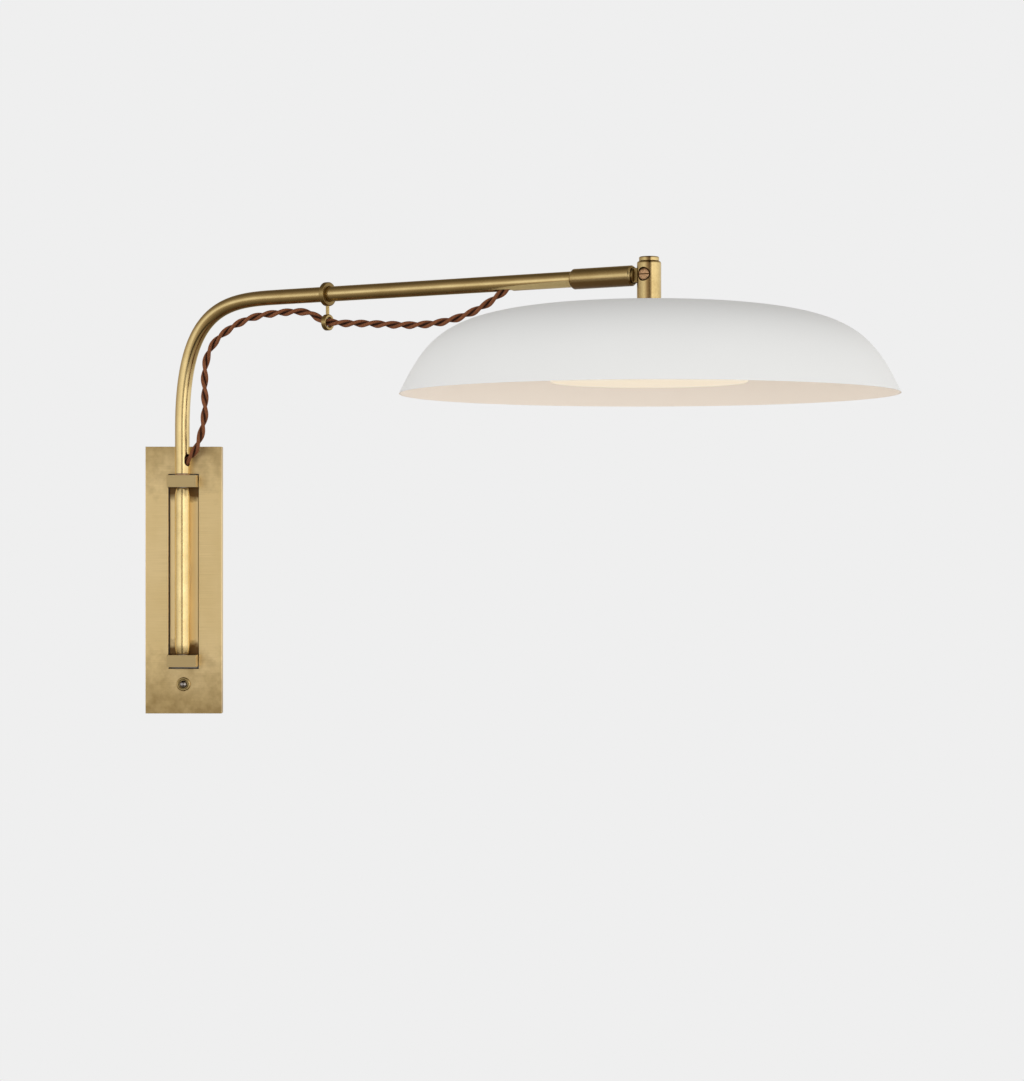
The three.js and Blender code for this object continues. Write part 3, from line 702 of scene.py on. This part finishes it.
# Distance from the spindle's axis and height, in the plane of the arm, in millimetres.
CORD_ROUTE = [
    (3.4, 104.6), (6.8, 107.2), (11.4, 111.4), (15.8, 117.2), (19.4, 124.4), (22.4, 133.0),
    (24.6, 141.8), (25.7, 150.6), (25.6, 160.0), (25.3, 170.0), (25.3, 180.0), (26.2, 190.0),
    (29.2, 199.6), (34.6, 207.6), (42.6, 214.6), (53.4, 221.0), (64.9, 225.9), (76.4, 229.3),
    (88.0, 231.2), (108.9, 232.7), (130.0, 232.7), (141.0, 230.9), (149.6, 226.8), (155.6, 223.3),
    (160.2, 222.3), (165.4, 221.9), (174.0, 220.8), (194.0, 219.8), (215.0, 218.3), (236.0, 216.7),
    (256.0, 216.0), (276.2, 217.1), (296.2, 220.6), (314.0, 226.4), (326.4, 232.2), (337.0, 238.6),
    (344.6, 243.4),
]
CORD_PITCH = 33.0 * MM
STRAND_PRESS = 0.97                     # how far apart the strands stay where they press together
CORD_CROSSING = 170.1 * MM             # height where one strand lies straight in front of the other
STRAND_SIDES = 18
# Turns the strands so that one lies straight in front of the other, seen from the room.
VIEW_TURN = -math.atan2(ARM.dot(OUT), SIDE.dot(OUT))


def smooth_route(points, spacing):
    """Points a set distance apart on a smooth curve through the given ones."""
    fine = []
    for i in range(len(points) - 1):
        p0 = points[max(i - 1, 0)]
        p1, p2 = points[i], points[i + 1]
        p3 = points[min(i + 2, len(points) - 1)]
        knots = [0.0]
        for a, b in ((p0, p1), (p1, p2), (p2, p3)):
            knots.append(knots[-1] + max((b - a).length, 1e-6) ** 0.5)
        t0, t1, t2, t3 = knots
        for k in range(24):
            t = t1 + (t2 - t1) * k / 24
            a1 = p0.lerp(p1, (t - t0) / (t1 - t0)) if p0 != p1 else p1
            a2 = p1.lerp(p2, (t - t1) / (t2 - t1))
            a3 = p2.lerp(p3, (t - t2) / (t3 - t2)) if p2 != p3 else p2
            b1 = a1.lerp(a2, (t - t0) / (t2 - t0))
            b2 = a2.lerp(a3, (t - t1) / (t3 - t1))
            fine.append(b1.lerp(b2, (t - t1) / (t2 - t1)))
    fine.append(points[-1])
    travel = [0.0]
    for a, b in zip(fine, fine[1:]):
        travel.append(travel[-1] + (b - a).length)
    count = max(2, round(travel[-1] / spacing))
    even, at = [], 0
    for k in range(count + 1):
        want = travel[-1] * k / count
        while at < len(fine) - 2 and travel[at + 1] < want:
            at += 1
        share = (want - travel[at]) / max(travel[at + 1] - travel[at], 1e-9)
        even.append(fine[at].lerp(fine[at + 1], min(share, 1.0)))
    return even, travel[-1]


def make_cord():
    """Two cloth-covered strands twisted round each other, from the stem to the arm."""
    route = [on_arm(u * MM, z * MM) for u, z in CORD_ROUTE]
    line, length = smooth_route(route, 1.0 * MM)
    start = min(range(len(line) // 3 + 1), key=lambda i: abs(line[i].z - CORD_CROSSING))
    step = length / (len(line) - 1)
    bm = bmesh.new()
    for which in (0, 1):
        rings = []
        for i, centre in enumerate(line):
            ahead, behind = line[min(i + 1, len(line) - 1)], line[max(i - 1, 0)]
            tangent = (ahead - behind).normalized()
            across = SIDE.cross(tangent).normalized()
            turn = 2 * math.pi * (i - start) * step / CORD_PITCH + math.pi * which + VIEW_TURN
            offset = SIDE * math.cos(turn) + across * math.sin(turn)
            middle = centre + offset * STRAND * STRAND_PRESS
            rings.append(hoop(middle, across, STRAND, STRAND_SIDES, turn))
        first, last = ([sum(rings[end], Vector()) / STRAND_SIDES] for end in (0, -1))
        lofted([first] + rings + [last], bm=bm)
    cord = finish_piece(bm, "cloth_cord_twisted", "swing_arm", finishes["brown_cloth"],
                        "cloth_cord")


make_cord()

# ------------------------------------------------------------------ wall plate and bracket

PLATE_INNER_FACE = -10.5 * MM
PLATE_INNER_WIDTH, PLATE_INNER_HEIGHT = 66 * MM, 236.4 * MM


def soft_box_piece(node, width, material=None):
    """Box-like CAD node with its edges eased."""
    return bevelled(stand_in(from_node(node), node, material), width)


def make_wall_plate():
    """Folded cover, brushed outside, its inside painted dark brown as shade."""
    plate = soft_box_piece("wall_plate", 0.5 * MM, plate_brass)
    plate.data.materials.append(shadow_brass)
    for face in plate.data.polygons:
        x, y, z = face.center
        between_flanges = abs(x) < PLATE_INNER_WIDTH / 2 and abs(z) < PLATE_INNER_HEIGHT / 2
        face.material_index = int(y > PLATE_INNER_FACE and between_flanges)


soft_box_piece("mounting_strap", 0.35 * MM)
make_wall_plate()
soft_box_piece("swing_bracket", 0.35 * MM, bracket_brass)
soft_box_piece("led_driver", 1.0 * MM)


# ------------------------------------------------------------------ plain turned pieces

SPINDLE_FOOT = Vector((STEM.x, STEM.y, 0))
HEAD_FOOT = Vector((PIVOT.x, PIVOT.y, 0))


def turned_node(node, origin, along, ease):
    """Ring or disc of a CAD node, with its edges eased."""
    low, high, inner, outer = measured(node, origin, along)
    matrix = standing(origin, along)
    if inner < 0.1 * MM:
        corners = [(0, low, 0), (outer, low, ease), (outer, high, ease), (0, high, 0)]
        bm = turned(eased(corners), matrix)
    else:
        corners = [(inner, low, ease), (outer, low, ease), (outer, high, ease), (inner, high, ease)]
        bm = turned(eased(corners, closed=True), matrix, closed=True)
    stand_in(bm, node)


for node in ("upper_bushing", "lower_bushing", "thrust_washer", "pivot_spindle"):
    turned_node(node, SPINDLE_FOOT, UP, 0.2 * MM)
for node in ("spacer_tube", "shade_washer", "pan_washer", "threaded_nipple"):
    turned_node(node, HEAD_FOOT, UP, 0.25 * MM)
for node in ("friction_washer_near", "friction_washer_far"):
    turned_node(node, PIVOT, SIDE, 0.12 * MM)


def make_pivot_sleeve():
    """The long sleeve between the lugs, drawn in at both ends like a cigar."""
    low, high, bore, wide = measured("pivot_sleeve", SPINDLE_FOOT, UP)
    tip, taper, steps = 5.3 * MM, 9.5 * MM, 12
    ogive = []
    for k in range(steps + 1):
        share = k / steps
        ogive.append((tip + (wide - tip) * math.sin(share * math.pi / 2), share * taper))
    profile = [(bore, low)] + [(r, low + h) for r, h in ogive]
    profile += [(r, high - h) for r, h in reversed(ogive)] + [(bore, high)]
    sleeve = turned(profile, standing(SPINDLE_FOOT, UP), 128, closed=True)
    stand_in(sleeve, "pivot_sleeve", sleeve_brass)


make_pivot_sleeve()

# ------------------------------------------------------------------ arm

TUBE = 6.5 * MM
TUBE_BORE = 5.3 * MM
BEND_START, BEND_CORNER = 134.5 * MM, 245.6 * MM
BEND_EASE, BEND_END = 51.1 * MM, 106.6 * MM
STEM_HOLE = 104.9 * MM, 108.3 * MM      # heights between the slot's two round ends
ARM_HOLE = 334.6 * MM, 345.6 * MM       # and the same along the arm
CORD_HOLE_WIDTH = 7.5 * MM
CORD_HOLE_DEPTH = 2 * MM, 9 * MM        # from the tube's axis


def arm_stations():
    """Centre points and directions of the bent tube's centreline, in (u, z)."""
    low, _, _, _ = measured("arm_tube", SPINDLE_FOOT, UP)
    _, end, _, _ = measured("arm_tube", on_arm(0, PIVOT.z), ARM)
    control = [Vector(p) for p in (
        (0, BEND_START), (0, BEND_CORNER), (BEND_EASE, PIVOT.z), (BEND_END, PIVOT.z))]
    stations = [(Vector((0, low)), Vector((0, 1)))]
    stations += [(Vector((0, low + (BEND_START - low) * k / 6)), Vector((0, 1))) for k in range(1, 6)]
    steps = 64
    for k in range(steps + 1):
        t = k / steps
        place = (control[0] * (1 - t) ** 3 + control[1] * 3 * t * (1 - t) ** 2
                 + control[2] * 3 * t * t * (1 - t) + control[3] * t ** 3)
        slope = ((control[1] - control[0]) * (1 - t) ** 2 + (control[2] - control[1]) * 2 * t * (1 - t)
                 + (control[3] - control[2]) * t * t)
        stations.append((place, slope.normalized()))
    for k in range(1, 17):
        stations.append((Vector((BEND_END + (end - BEND_END) * k / 16, PIVOT.z)), Vector((1, 0))))
    return stations


def cord_slot(ends, place, into, along):
    """Cutter for a slot with round ends through one wall of the tube."""
    length = ends[1] - ends[0] + CORD_HOLE_WIDTH
    return prism(slot_outline(length, CORD_HOLE_WIDTH), standing(place, into, along), *CORD_HOLE_DEPTH)


def make_arm_tube():
    """Bent tube with a slot for the cord in its stem and another in its underside."""
    rings = []
    stations = arm_stations()
    for radius, order in ((TUBE, stations), (TUBE_BORE, stations[::-1])):
        for place, direction in order:
            centre = on_arm(place.x, place.y)
            tangent = ARM * direction.x + UP * direction.y
            rings.append(hoop(centre, SIDE.cross(tangent), radius, 72))
    tube = lofted(rings, closed=True)
    tube = combined(tube, cord_slot(STEM_HOLE, on_arm(0, sum(STEM_HOLE) / 2), ARM, UP))
    tube = combined(tube, cord_slot(ARM_HOLE, on_arm(sum(ARM_HOLE) / 2, PIVOT.z), -UP, ARM))
    # Faces of the bore in the straight runs take the dark brown of painted shade.
    for face in tube.faces:
        offset = face.calc_center_median() - on_arm(0, PIVOT.z)
        straight = (offset.z < BEND_START - PIVOT.z, UP), (offset.dot(ARM) > BEND_END, ARM)
        depths = [(offset - axis * offset.dot(axis)).length for there, axis in straight if there]
        face.material_index = int(min(depths, default=TUBE) < (TUBE + TUBE_BORE) / 2)
    stand_in(tube, "arm_tube", drawn_brass).data.materials.append(shadow_brass)


make_arm_tube()

CLIP_AT = 160 * MM
PIVOT_HOLE = 2.3 * MM


def make_clip():
    """Collar on the arm, and the eyelet that hangs from it to guide the cord."""
    arm_line = on_arm(0, PIVOT.z)
    low, high, inner, outer = measured("clip_collar", arm_line, ARM)
    ease, edge = 1.0 * MM, 0.3 * MM
    corners = [(inner, low, edge), (outer, low, ease), (outer, high, ease), (inner, high, edge)]
    collar = turned(eased(corners, closed=True), standing(arm_line, ARM), 96, closed=True)
    screw_hole = prism(slot_outline(3.0 * MM, 2.99 * MM), standing(on_arm(CLIP_AT, PIVOT.z), UP),
                       8 * MM, 12 * MM)
    collar = combined(collar, screw_hole)
    collar.normal_update()
    # The collar's flat end faces take the darker brass: painted shade.
    for face in collar.faces:
        face.material_index = int(abs(face.normal.dot(ARM)) > 0.9)
    stand_in(collar, "clip_collar", clip_brass).data.materials.append(shaded_brass)

    eye_low, eye_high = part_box("clip_eyelet")[0].z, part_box("clip_eyelet")[1].z
    eye_line = on_arm(0, (eye_low + eye_high) / 2)
    low, high, inner, outer = measured("clip_eyelet", eye_line, ARM)
    inner, mouth = 4.35 * MM, 0.8 * MM
    corners = [(inner, low, mouth), (outer, low, ease), (outer, high, ease), (inner, high, mouth)]
    eyelet = turned(eased(corners, closed=True), standing(eye_line, ARM), 80, closed=True)
    stand_in(eyelet, "clip_eyelet", clip_brass)

    foot = on_arm(CLIP_AT, 0)
    low, high, _, outer = measured("clip_post", foot, UP)
    edge = 0.2 * MM
    profile = eased([(0, low, 0), (outer, low, edge), (outer, high, edge), (0, high, 0)])
    stand_in(turned(profile, standing(foot, UP), 40), "clip_post", clip_brass)


make_clip()


def make_end_sleeve():
    """Thicker sleeve on the arm's end, with a chamfer at each end."""
    arm_line = on_arm(0, PIVOT.z)
    low, high, inner, outer = measured("end_sleeve", arm_line, ARM)
    chamfer, run, edge = 1.2 * MM, 1.6 * MM, 0.25 * MM
    corners = [(inner, low, edge), (outer - chamfer, low, edge), (outer, low + run, edge),
               (outer, high - run, edge), (outer - chamfer, high, edge), (inner, high, edge)]
    sleeve = turned(eased(corners, closed=True), standing(arm_line, ARM), 112, closed=True)
    stand_in(sleeve, "end_sleeve", satin_brass)


make_end_sleeve()


def make_neck():
    """Round neck that ends in the flat tongue held by the pivot screw."""
    arm_line = on_arm(0, PIVOT.z)
    low, _, _, _ = measured("knuckle_neck", arm_line, ARM)
    radius, shoulder = 6.2 * MM, REACH - 11.9 * MM
    thick, tall, root, through = 6.6 * MM, 11.2 * MM, 2 * MM, 9 * MM
    corners = [(0, low, 0), (radius, low, 0.3 * MM), (radius, shoulder, 0.5 * MM), (0, shoulder, 0)]
    neck = turned(eased(corners), standing(arm_line, ARM), 80)
    outline = []
    for i in range(33):
        turn = math.radians(-90 + 180 * i / 32)
        outline.append((REACH + tall / 2 * math.cos(turn), tall / 2 * math.sin(turn)))
    outline += [(low + root, tall / 2), (low + root, -tall / 2)]
    frame_of_arm = Matrix((ARM, UP, -SIDE)).transposed().to_4x4()
    frame_of_arm.translation = arm_line
    tongue = prism(outline, frame_of_arm, -thick / 2, thick / 2)
    body = combined(neck, tongue, "UNION")
    hole = turned([(0, -through), (PIVOT_HOLE, -through), (PIVOT_HOLE, through), (0, through)],
                  standing(on_arm(REACH, PIVOT.z), SIDE), 32)
    # The neck takes the darker brass: painted shade.
    stand_in(combined(body, hole), "knuckle_neck", shaded_brass)


make_neck()


SLOT_WIDTH = 0.9 * MM


def slotted_screw(node, origin, along, level, shank, head, slot_depth):
    """Screw as long and wide as its CAD node: shank, cheese head and driver slot."""
    low, high, _, outer = measured(node, origin, along)
    matrix = standing(origin, along, level)
    head_low = high - head
    corners = [(0, low, 0), (shank, low, 0.2 * MM), (shank, head_low, 0), (outer, head_low, 0.1 * MM),
               (outer, high - 0.45 * MM, 0.35 * MM), (outer * 0.72, high, 0.8 * MM), (0, high, 0)]
    screw = turned(eased(corners), matrix, 80)
    cutter = prism(box_outline(outer * 2.4, SLOT_WIDTH), matrix, high - slot_depth, high + 2 * MM)
    screw = combined(screw, cutter)
    across = matrix.to_3x3().col[1]
    # Faces inside the driver slot take the dark brown of painted shade.
    for face in screw.faces:
        offset = face.calc_center_median() - origin
        in_slot = abs(offset.dot(across)) < SLOT_WIDTH * 0.51
        below_top = high - slot_depth - 0.01 * MM < offset.dot(along) < high - 0.05 * MM
        face.material_index = int(in_slot and below_top)
    stand_in(screw, node).data.materials.append(shadow_brass)


GROUND_SCREW = Vector((18.5 * MM, 0, 52 * MM))
slotted_screw("pivot_screw", PIVOT, SIDE, ARM, shank=2.0 * MM, head=2.1 * MM, slot_depth=0.9 * MM)
slotted_screw("ground_screw", GROUND_SCREW, OUT, RIGHT, shank=1.5 * MM, head=2.2 * MM,
              slot_depth=1.2 * MM)


def grub_screw(node, origin, along):
    """Headless screw with a hexagon socket."""
    low, high, _, outer = measured(node, origin, along)
    matrix = standing(origin, along)
    corners = [(0, low, 0), (outer, low, 0.15 * MM), (outer, high, 0.2 * MM), (0, high, 0)]
    screw = turned(eased(corners), matrix, 40)
    key = outer * 0.55
    hexagon = [(key * math.cos(math.radians(a)), key * math.sin(math.radians(a)))
               for a in range(0, 360, 60)]
    stand_in(combined(screw, prism(hexagon, matrix, high - 0.9 * MM, high + 1 * MM)), node)


grub_screw("clip_screw", on_arm(CLIP_AT, 0), UP)
_, sleeve_end, _, _ = measured("end_sleeve", on_arm(0, PIVOT.z), ARM)
SLEEVE_SCREW_INSET = 12 * MM
grub_screw("end_sleeve_screw", on_arm(sleeve_end - SLEEVE_SCREW_INSET, PIVOT.z), -UP)

# ------------------------------------------------------------------ shade head

POST_SLOT = {"back": -12 * MM, "front": 7.2 * MM, "half": 4.4 * MM, "low": -8.2 * MM, "high": 8.8 * MM}
HEAD_POCKET = 5.6 * MM                 # radius of the recess that the pivot screw's head sits in
NIPPLE_BORE, NIPPLE_DEPTH = 5.3 * MM, 11.6 * MM


def drilled(bm, place, radius, start, end, sides):
    """A bmesh with a round hole bored through it along a matrix's Z."""
    return combined(bm, turned([(0, start), (radius, start), (radius, end), (0, end)], place, sides))


def make_post():
    """Post that carries the shade, slotted for the tongue and bored for its screw and nipple."""
    low, high, _, radius = measured("knuckle_post", HEAD_FOOT, UP)
    corners = [(0, low, 0), (radius, low, 0.3 * MM), (radius, high, 1.9 * MM), (0, high, 0)]
    post = turned(eased(corners, steps=8), standing(HEAD_FOOT, UP), 128)
    back, front, half = POST_SLOT["back"], POST_SLOT["front"], POST_SLOT["half"]
    outline = [(back, -half), (front, -half), (front, half), (back, half)]
    slot = prism(outline, standing(PIVOT, UP, ARM), POST_SLOT["low"], POST_SLOT["high"])
    post = combined(post, slot)
    post = drilled(post, standing(PIVOT, SIDE), PIVOT_HOLE, -8 * MM, 8 * MM, 64)
    post = drilled(post, standing(PIVOT, SIDE), HEAD_POCKET, 6.6 * MM, 12 * MM, 64)
    post = drilled(post, standing(HEAD_FOOT, UP), NIPPLE_BORE, low - 1 * MM, low + NIPPLE_DEPTH, 48)
    # Faces in the screw head's pocket and in the tongue's slot take the dark brown of painted shade.
    for face in post.faces:
        offset = face.calc_center_median() - PIVOT
        depth = offset.dot(SIDE)
        from_axis = (offset - SIDE * depth).length
        in_pocket = depth > 6.5 * MM and from_axis < HEAD_POCKET + 0.02 * MM
        in_slot = abs(depth) < 4.5 * MM and from_axis < 9 * MM
        face.material_index = int(in_pocket or in_slot)
    stand_in(post, "knuckle_post", warm_brass).data.materials.append(shadow_brass)


make_post()


def make_cap():
    """Stepped cap on the post: a short stud under a wider round-edged disc."""
    low, high, _, radius = measured("knuckle_cap", HEAD_FOOT, UP)
    stud, disc = 2.9 * MM, low + 1.5 * MM
    corners = [(0, low, 0), (stud, low, 0), (stud, disc, 0), (radius, disc, 0.2 * MM),
               (radius, high, 1.2 * MM), (0, high, 0)]
    stand_in(turned(eased(corners), standing(HEAD_FOOT, UP), 112), "knuckle_cap", warm_brass)


make_cap()

SHADE_WALL = 1.2 * MM
DOME = {"crown": 0.784, "shoulder": 0.868, "lift": 0.769}


def dome_line(radius, height, base, steps=72):
    """Outer line of the dome from its crown to its rim."""
    control = [(0, height), (DOME["crown"] * radius, height),
               (DOME["shoulder"] * radius, DOME["lift"] * height), (radius, 0)]
    line = []
    for k in range(steps + 1):
        t = k / steps
        weights = ((1 - t) ** 3, 3 * t * (1 - t) ** 2, 3 * t * t * (1 - t), t ** 3)
        r = sum(w * c[0] for w, c in zip(weights, control))
        h = sum(w * c[1] for w, c in zip(weights, control))
        line.append((r, base + h))
    return line


def make_shade():
    """Spun dish; on its inside the coat is painted with the lamp's warm light."""
    low, high, hole, radius = measured("shade", HEAD_FOOT, UP)
    outer = [p for p in dome_line(radius, high - low, low) if p[0] > hole]
    inner = [p for p in dome_line(radius - SHADE_WALL, high - low - SHADE_WALL, low) if p[0] > hole]
    crown = [(hole, high - SHADE_WALL), (hole, high)]
    profile = crown + outer + inner[::-1]
    shell = turned(profile, standing(HEAD_FOOT, UP), 256, closed=True)
    bmesh.ops.recalc_face_normals(shell, faces=shell.faces)
    # Faces turned down take the inside coat and its painted lamplight.
    for face in shell.faces:
        face.material_index = int(face.normal.z < -0.05)
    stand_in(shell, "shade").data.materials.append(inner_enamel)


make_shade()


def make_lamp_parts():
    """Lamp pan, and the opal lens that closes it."""
    matrix = standing(HEAD_FOOT, UP)
    low, high, _, radius = measured("led_pan", HEAD_FOOT, UP)
    wall, edge = 1.2 * MM, 0.3 * MM
    corners = [(NIPPLE_BORE, high, 0), (radius, high, 3.2 * MM), (radius, low, edge),
               (radius - wall, low, edge), (radius - wall, high - wall, 2.2 * MM),
               (NIPPLE_BORE, high - wall, 0)]
    stand_in(turned(eased(corners, closed=True), matrix, 192, closed=True), "led_pan")
    low, high, _, radius = measured("diffuser", HEAD_FOOT, UP)
    lip, sheet, edge = 1.6 * MM, 2 * MM, 0.2 * MM
    corners = [(0, low, 0), (radius, low, lip), (radius, high, edge), (radius - lip, high, edge),
               (radius - lip, low + sheet, 0.4 * MM), (0, low + sheet, 0)]
    stand_in(turned(eased(corners), matrix, 192), "diffuser")


make_lamp_parts()


SWITCH_HEIGHT = -92.9 * MM
BUSHING_SHOWS_FROM = -10.6 * MM        # the switch's threaded end stands out in front of this
BUTTON_ROUNDNESS = 0.62                # height of the button's dome over its radius


def make_switch():
    """Push switch with its ring nut and domed button."""
    centre = Vector((0, 0, SWITCH_HEIGHT))
    matrix = standing(centre, OUT, RIGHT)
    body = soft_box_piece("switch_body", 0.4 * MM)
    body.data.materials.append(nut_brass)
    for face in body.data.polygons:
        face.material_index = int(face.center.y < BUSHING_SHOWS_FROM)
    low, high, inner, outer = measured("switch_nut", centre, OUT)
    corners = [(inner, low, 0.1 * MM), (outer, low, 0.2 * MM), (outer, low + 1.0 * MM, 0.35 * MM),
               (outer - 0.7 * MM, high, 0.3 * MM), (inner, high, 0.2 * MM)]
    stand_in(turned(eased(corners, closed=True), matrix, 72, closed=True), "switch_nut", nut_brass)
    low, high, _, radius = measured("switch_button", centre, OUT)
    rise, steps = radius * BUTTON_ROUNDNESS, 12
    profile = [(0, low), (radius, low)]
    for k in range(steps):
        turn = math.radians(90 * k / steps)
        profile.append((radius * math.cos(turn), high - rise + rise * math.sin(turn)))
    profile.append((0, high))
    stand_in(turned(profile, matrix, 64), "switch_button")


make_switch()

# ------------------------------------------------------------------ CAD nodes that stay

for node, carried in frame["nodes"].items():
    carried.data.materials.clear()
    carried.data.materials.append(finishes[slot_of[node]])

# ------------------------------------------------------------------ room and light

BACKDROP = (0.863, 0.863, 0.863)
FLOOR_HEIGHT, FLOOR_RADIUS = -2.0, 7.0


def floor_material():
    """Plain pale floor that meets the pale surround without a line."""
    material, tree, shader, coords = new_material("pale_floor")
    shade_noise = noise(tree, coords["Object"], 3.0, 2.0, 0.5)
    pale = blend_colours(tree, ramp(tree, shade_noise, 0.3, 0.7), (0.79, 0.79, 0.79), (0.81, 0.81, 0.81))
    link(tree, pale, shader.inputs["Base Color"])
    shader.inputs["Roughness"].default_value = 0.8
    shown = tree.nodes.new("ShaderNodeEmission")
    shown.inputs["Color"].default_value = (*BACKDROP, 1)
    seen = tree.nodes.new("ShaderNodeLightPath")
    mix = tree.nodes.new("ShaderNodeMixShader")
    link(tree, seen.outputs["Is Camera Ray"], mix.inputs[0])
    link(tree, shader.outputs[0], mix.inputs[1])
    link(tree, shown.outputs[0], mix.inputs[2])
    link(tree, mix.outputs[0], tree.nodes["Material Output"].inputs["Surface"])
    return material


def make_floor():
    """A plain pale floor, well below the lamp."""
    centre = (cad_low + cad_high) / 2
    bm = bmesh.new()
    middle = Matrix.Translation((centre.x, centre.y, FLOOR_HEIGHT))
    bm.faces.new([bm.verts.new(p) for p in circle(middle, FLOOR_RADIUS, 0, 96)])
    mesh = bpy.data.meshes.new("floor")
    bm.to_mesh(mesh)
    bm.free()
    floor = bpy.data.objects.new("floor", mesh)
    bpy.context.scene.collection.objects.link(floor)
    mesh.materials.append(floor_material())
    floor.visible_glossy = False


# How bright the studio is at each height: (sine of the elevation, brightness).
FILL_HEIGHTS = [(-1.0, 0.45), (-0.5, 0.65), (-0.2, 1.3), (0.0, 1.7), (0.2, 1.58), (0.45, 0.66), (1.0, 0.36)]
MIRROR_HEIGHTS = [(-1.0, 0.14), (-0.6, 0.34), (-0.4, 0.48), (-0.25, 0.66), (-0.1, 1.45), (0.14, 1.5),
                  (0.34, 0.85), (0.57, 0.5), (0.87, 0.28), (1.0, 0.16)]
# How bright the reflected studio is all round: (degrees to the right of straight out, brightness).
MIRROR_ROUND = [(-180, 0.45), (-140, 0.32), (-100, 0.45), (-65, 0.72), (-40, 0.92), (-15, 1.0),
                (-5, 0.05), (12, 0.05), (20, 1.1), (60, 1.1), (120, 0.7), (180, 0.45)]
MIRROR_TINT = (1.0, 0.80, 0.56)        # of the studio's darker parts


def brightness_ramp(tree, value, low, high, stops):
    """A greyscale ramp through (place, brightness) stops between low and high."""
    node = tree.nodes.new("ShaderNodeValToRGB")
    link(tree, ramp(tree, value, low, high), node.inputs["Fac"])
    elements = node.color_ramp.elements
    for _ in stops[2:]:
        elements.new(0.5)
    for element, (place, value) in zip(elements, stops):
        element.position = (place - low) / (high - low)
        element.color = (value, value, value, 1)
    return node.outputs["Color"]


def make_world():
    """Soft surround: an even fill, and the bright band with a dark gap that metal mirrors."""
    world = bpy.data.worlds.new("studio")
    bpy.context.scene.world = world
    world.use_nodes = True
    tree = world.node_tree
    coords = tree.nodes.new("ShaderNodeTexCoord")
    x, y, z = split(tree, coords.outputs["Generated"])
    fill = brightness_ramp(tree, z, -1.0, 1.0, FILL_HEIGHTS)
    sideways = ramp(tree, x, -1.0, 1.0, 0.99, 1.04)
    fill = maths(tree, "MULTIPLY", fill, sideways)
    azimuth = maths(tree, "ARCTAN2", x, maths(tree, "MULTIPLY", y, -1.0))
    round_about = brightness_ramp(tree, azimuth, -math.pi, math.pi,
                                  [(math.radians(a), v) for a, v in MIRROR_ROUND])
    mirror = maths(tree, "MULTIPLY", brightness_ramp(tree, z, -1.0, 1.0, MIRROR_HEIGHTS), round_about)
    tint = blend_colours(tree, ramp(tree, mirror, 0.1, 0.9), MIRROR_TINT, (1.0, 1.0, 1.0))
    seen = tree.nodes.new("ShaderNodeLightPath")
    lit = blend_colours(tree, seen.outputs["Is Glossy Ray"], fill, scaled(tree, mirror, tint))
    colour = blend_colours(tree, seen.outputs["Is Camera Ray"], lit, BACKDROP)
    link(tree, colour, tree.nodes["Background"].inputs["Color"])


FILL_PLACE = Vector((0.9, -3.2, 0.1))
FILL_SIZE, FILL_POWER = (2.4, 1.6), 6


def make_light():
    """One broad soft light in front, aimed at the middle of the lamp."""
    data = bpy.data.lights.new("front_fill", "AREA")
    data.shape = "RECTANGLE"
    data.size, data.size_y = FILL_SIZE
    data.energy = FILL_POWER
    light = bpy.data.objects.new("front_fill", data)
    light.location = FILL_PLACE
    aim = (cad_low + cad_high) / 2 - FILL_PLACE
    light.rotation_euler = aim.to_track_quat("-Z", "Y").to_euler()
    bpy.context.scene.collection.objects.link(light)


make_floor()
make_world()
make_light()
bpy.context.scene.view_settings.view_transform = "Standard"
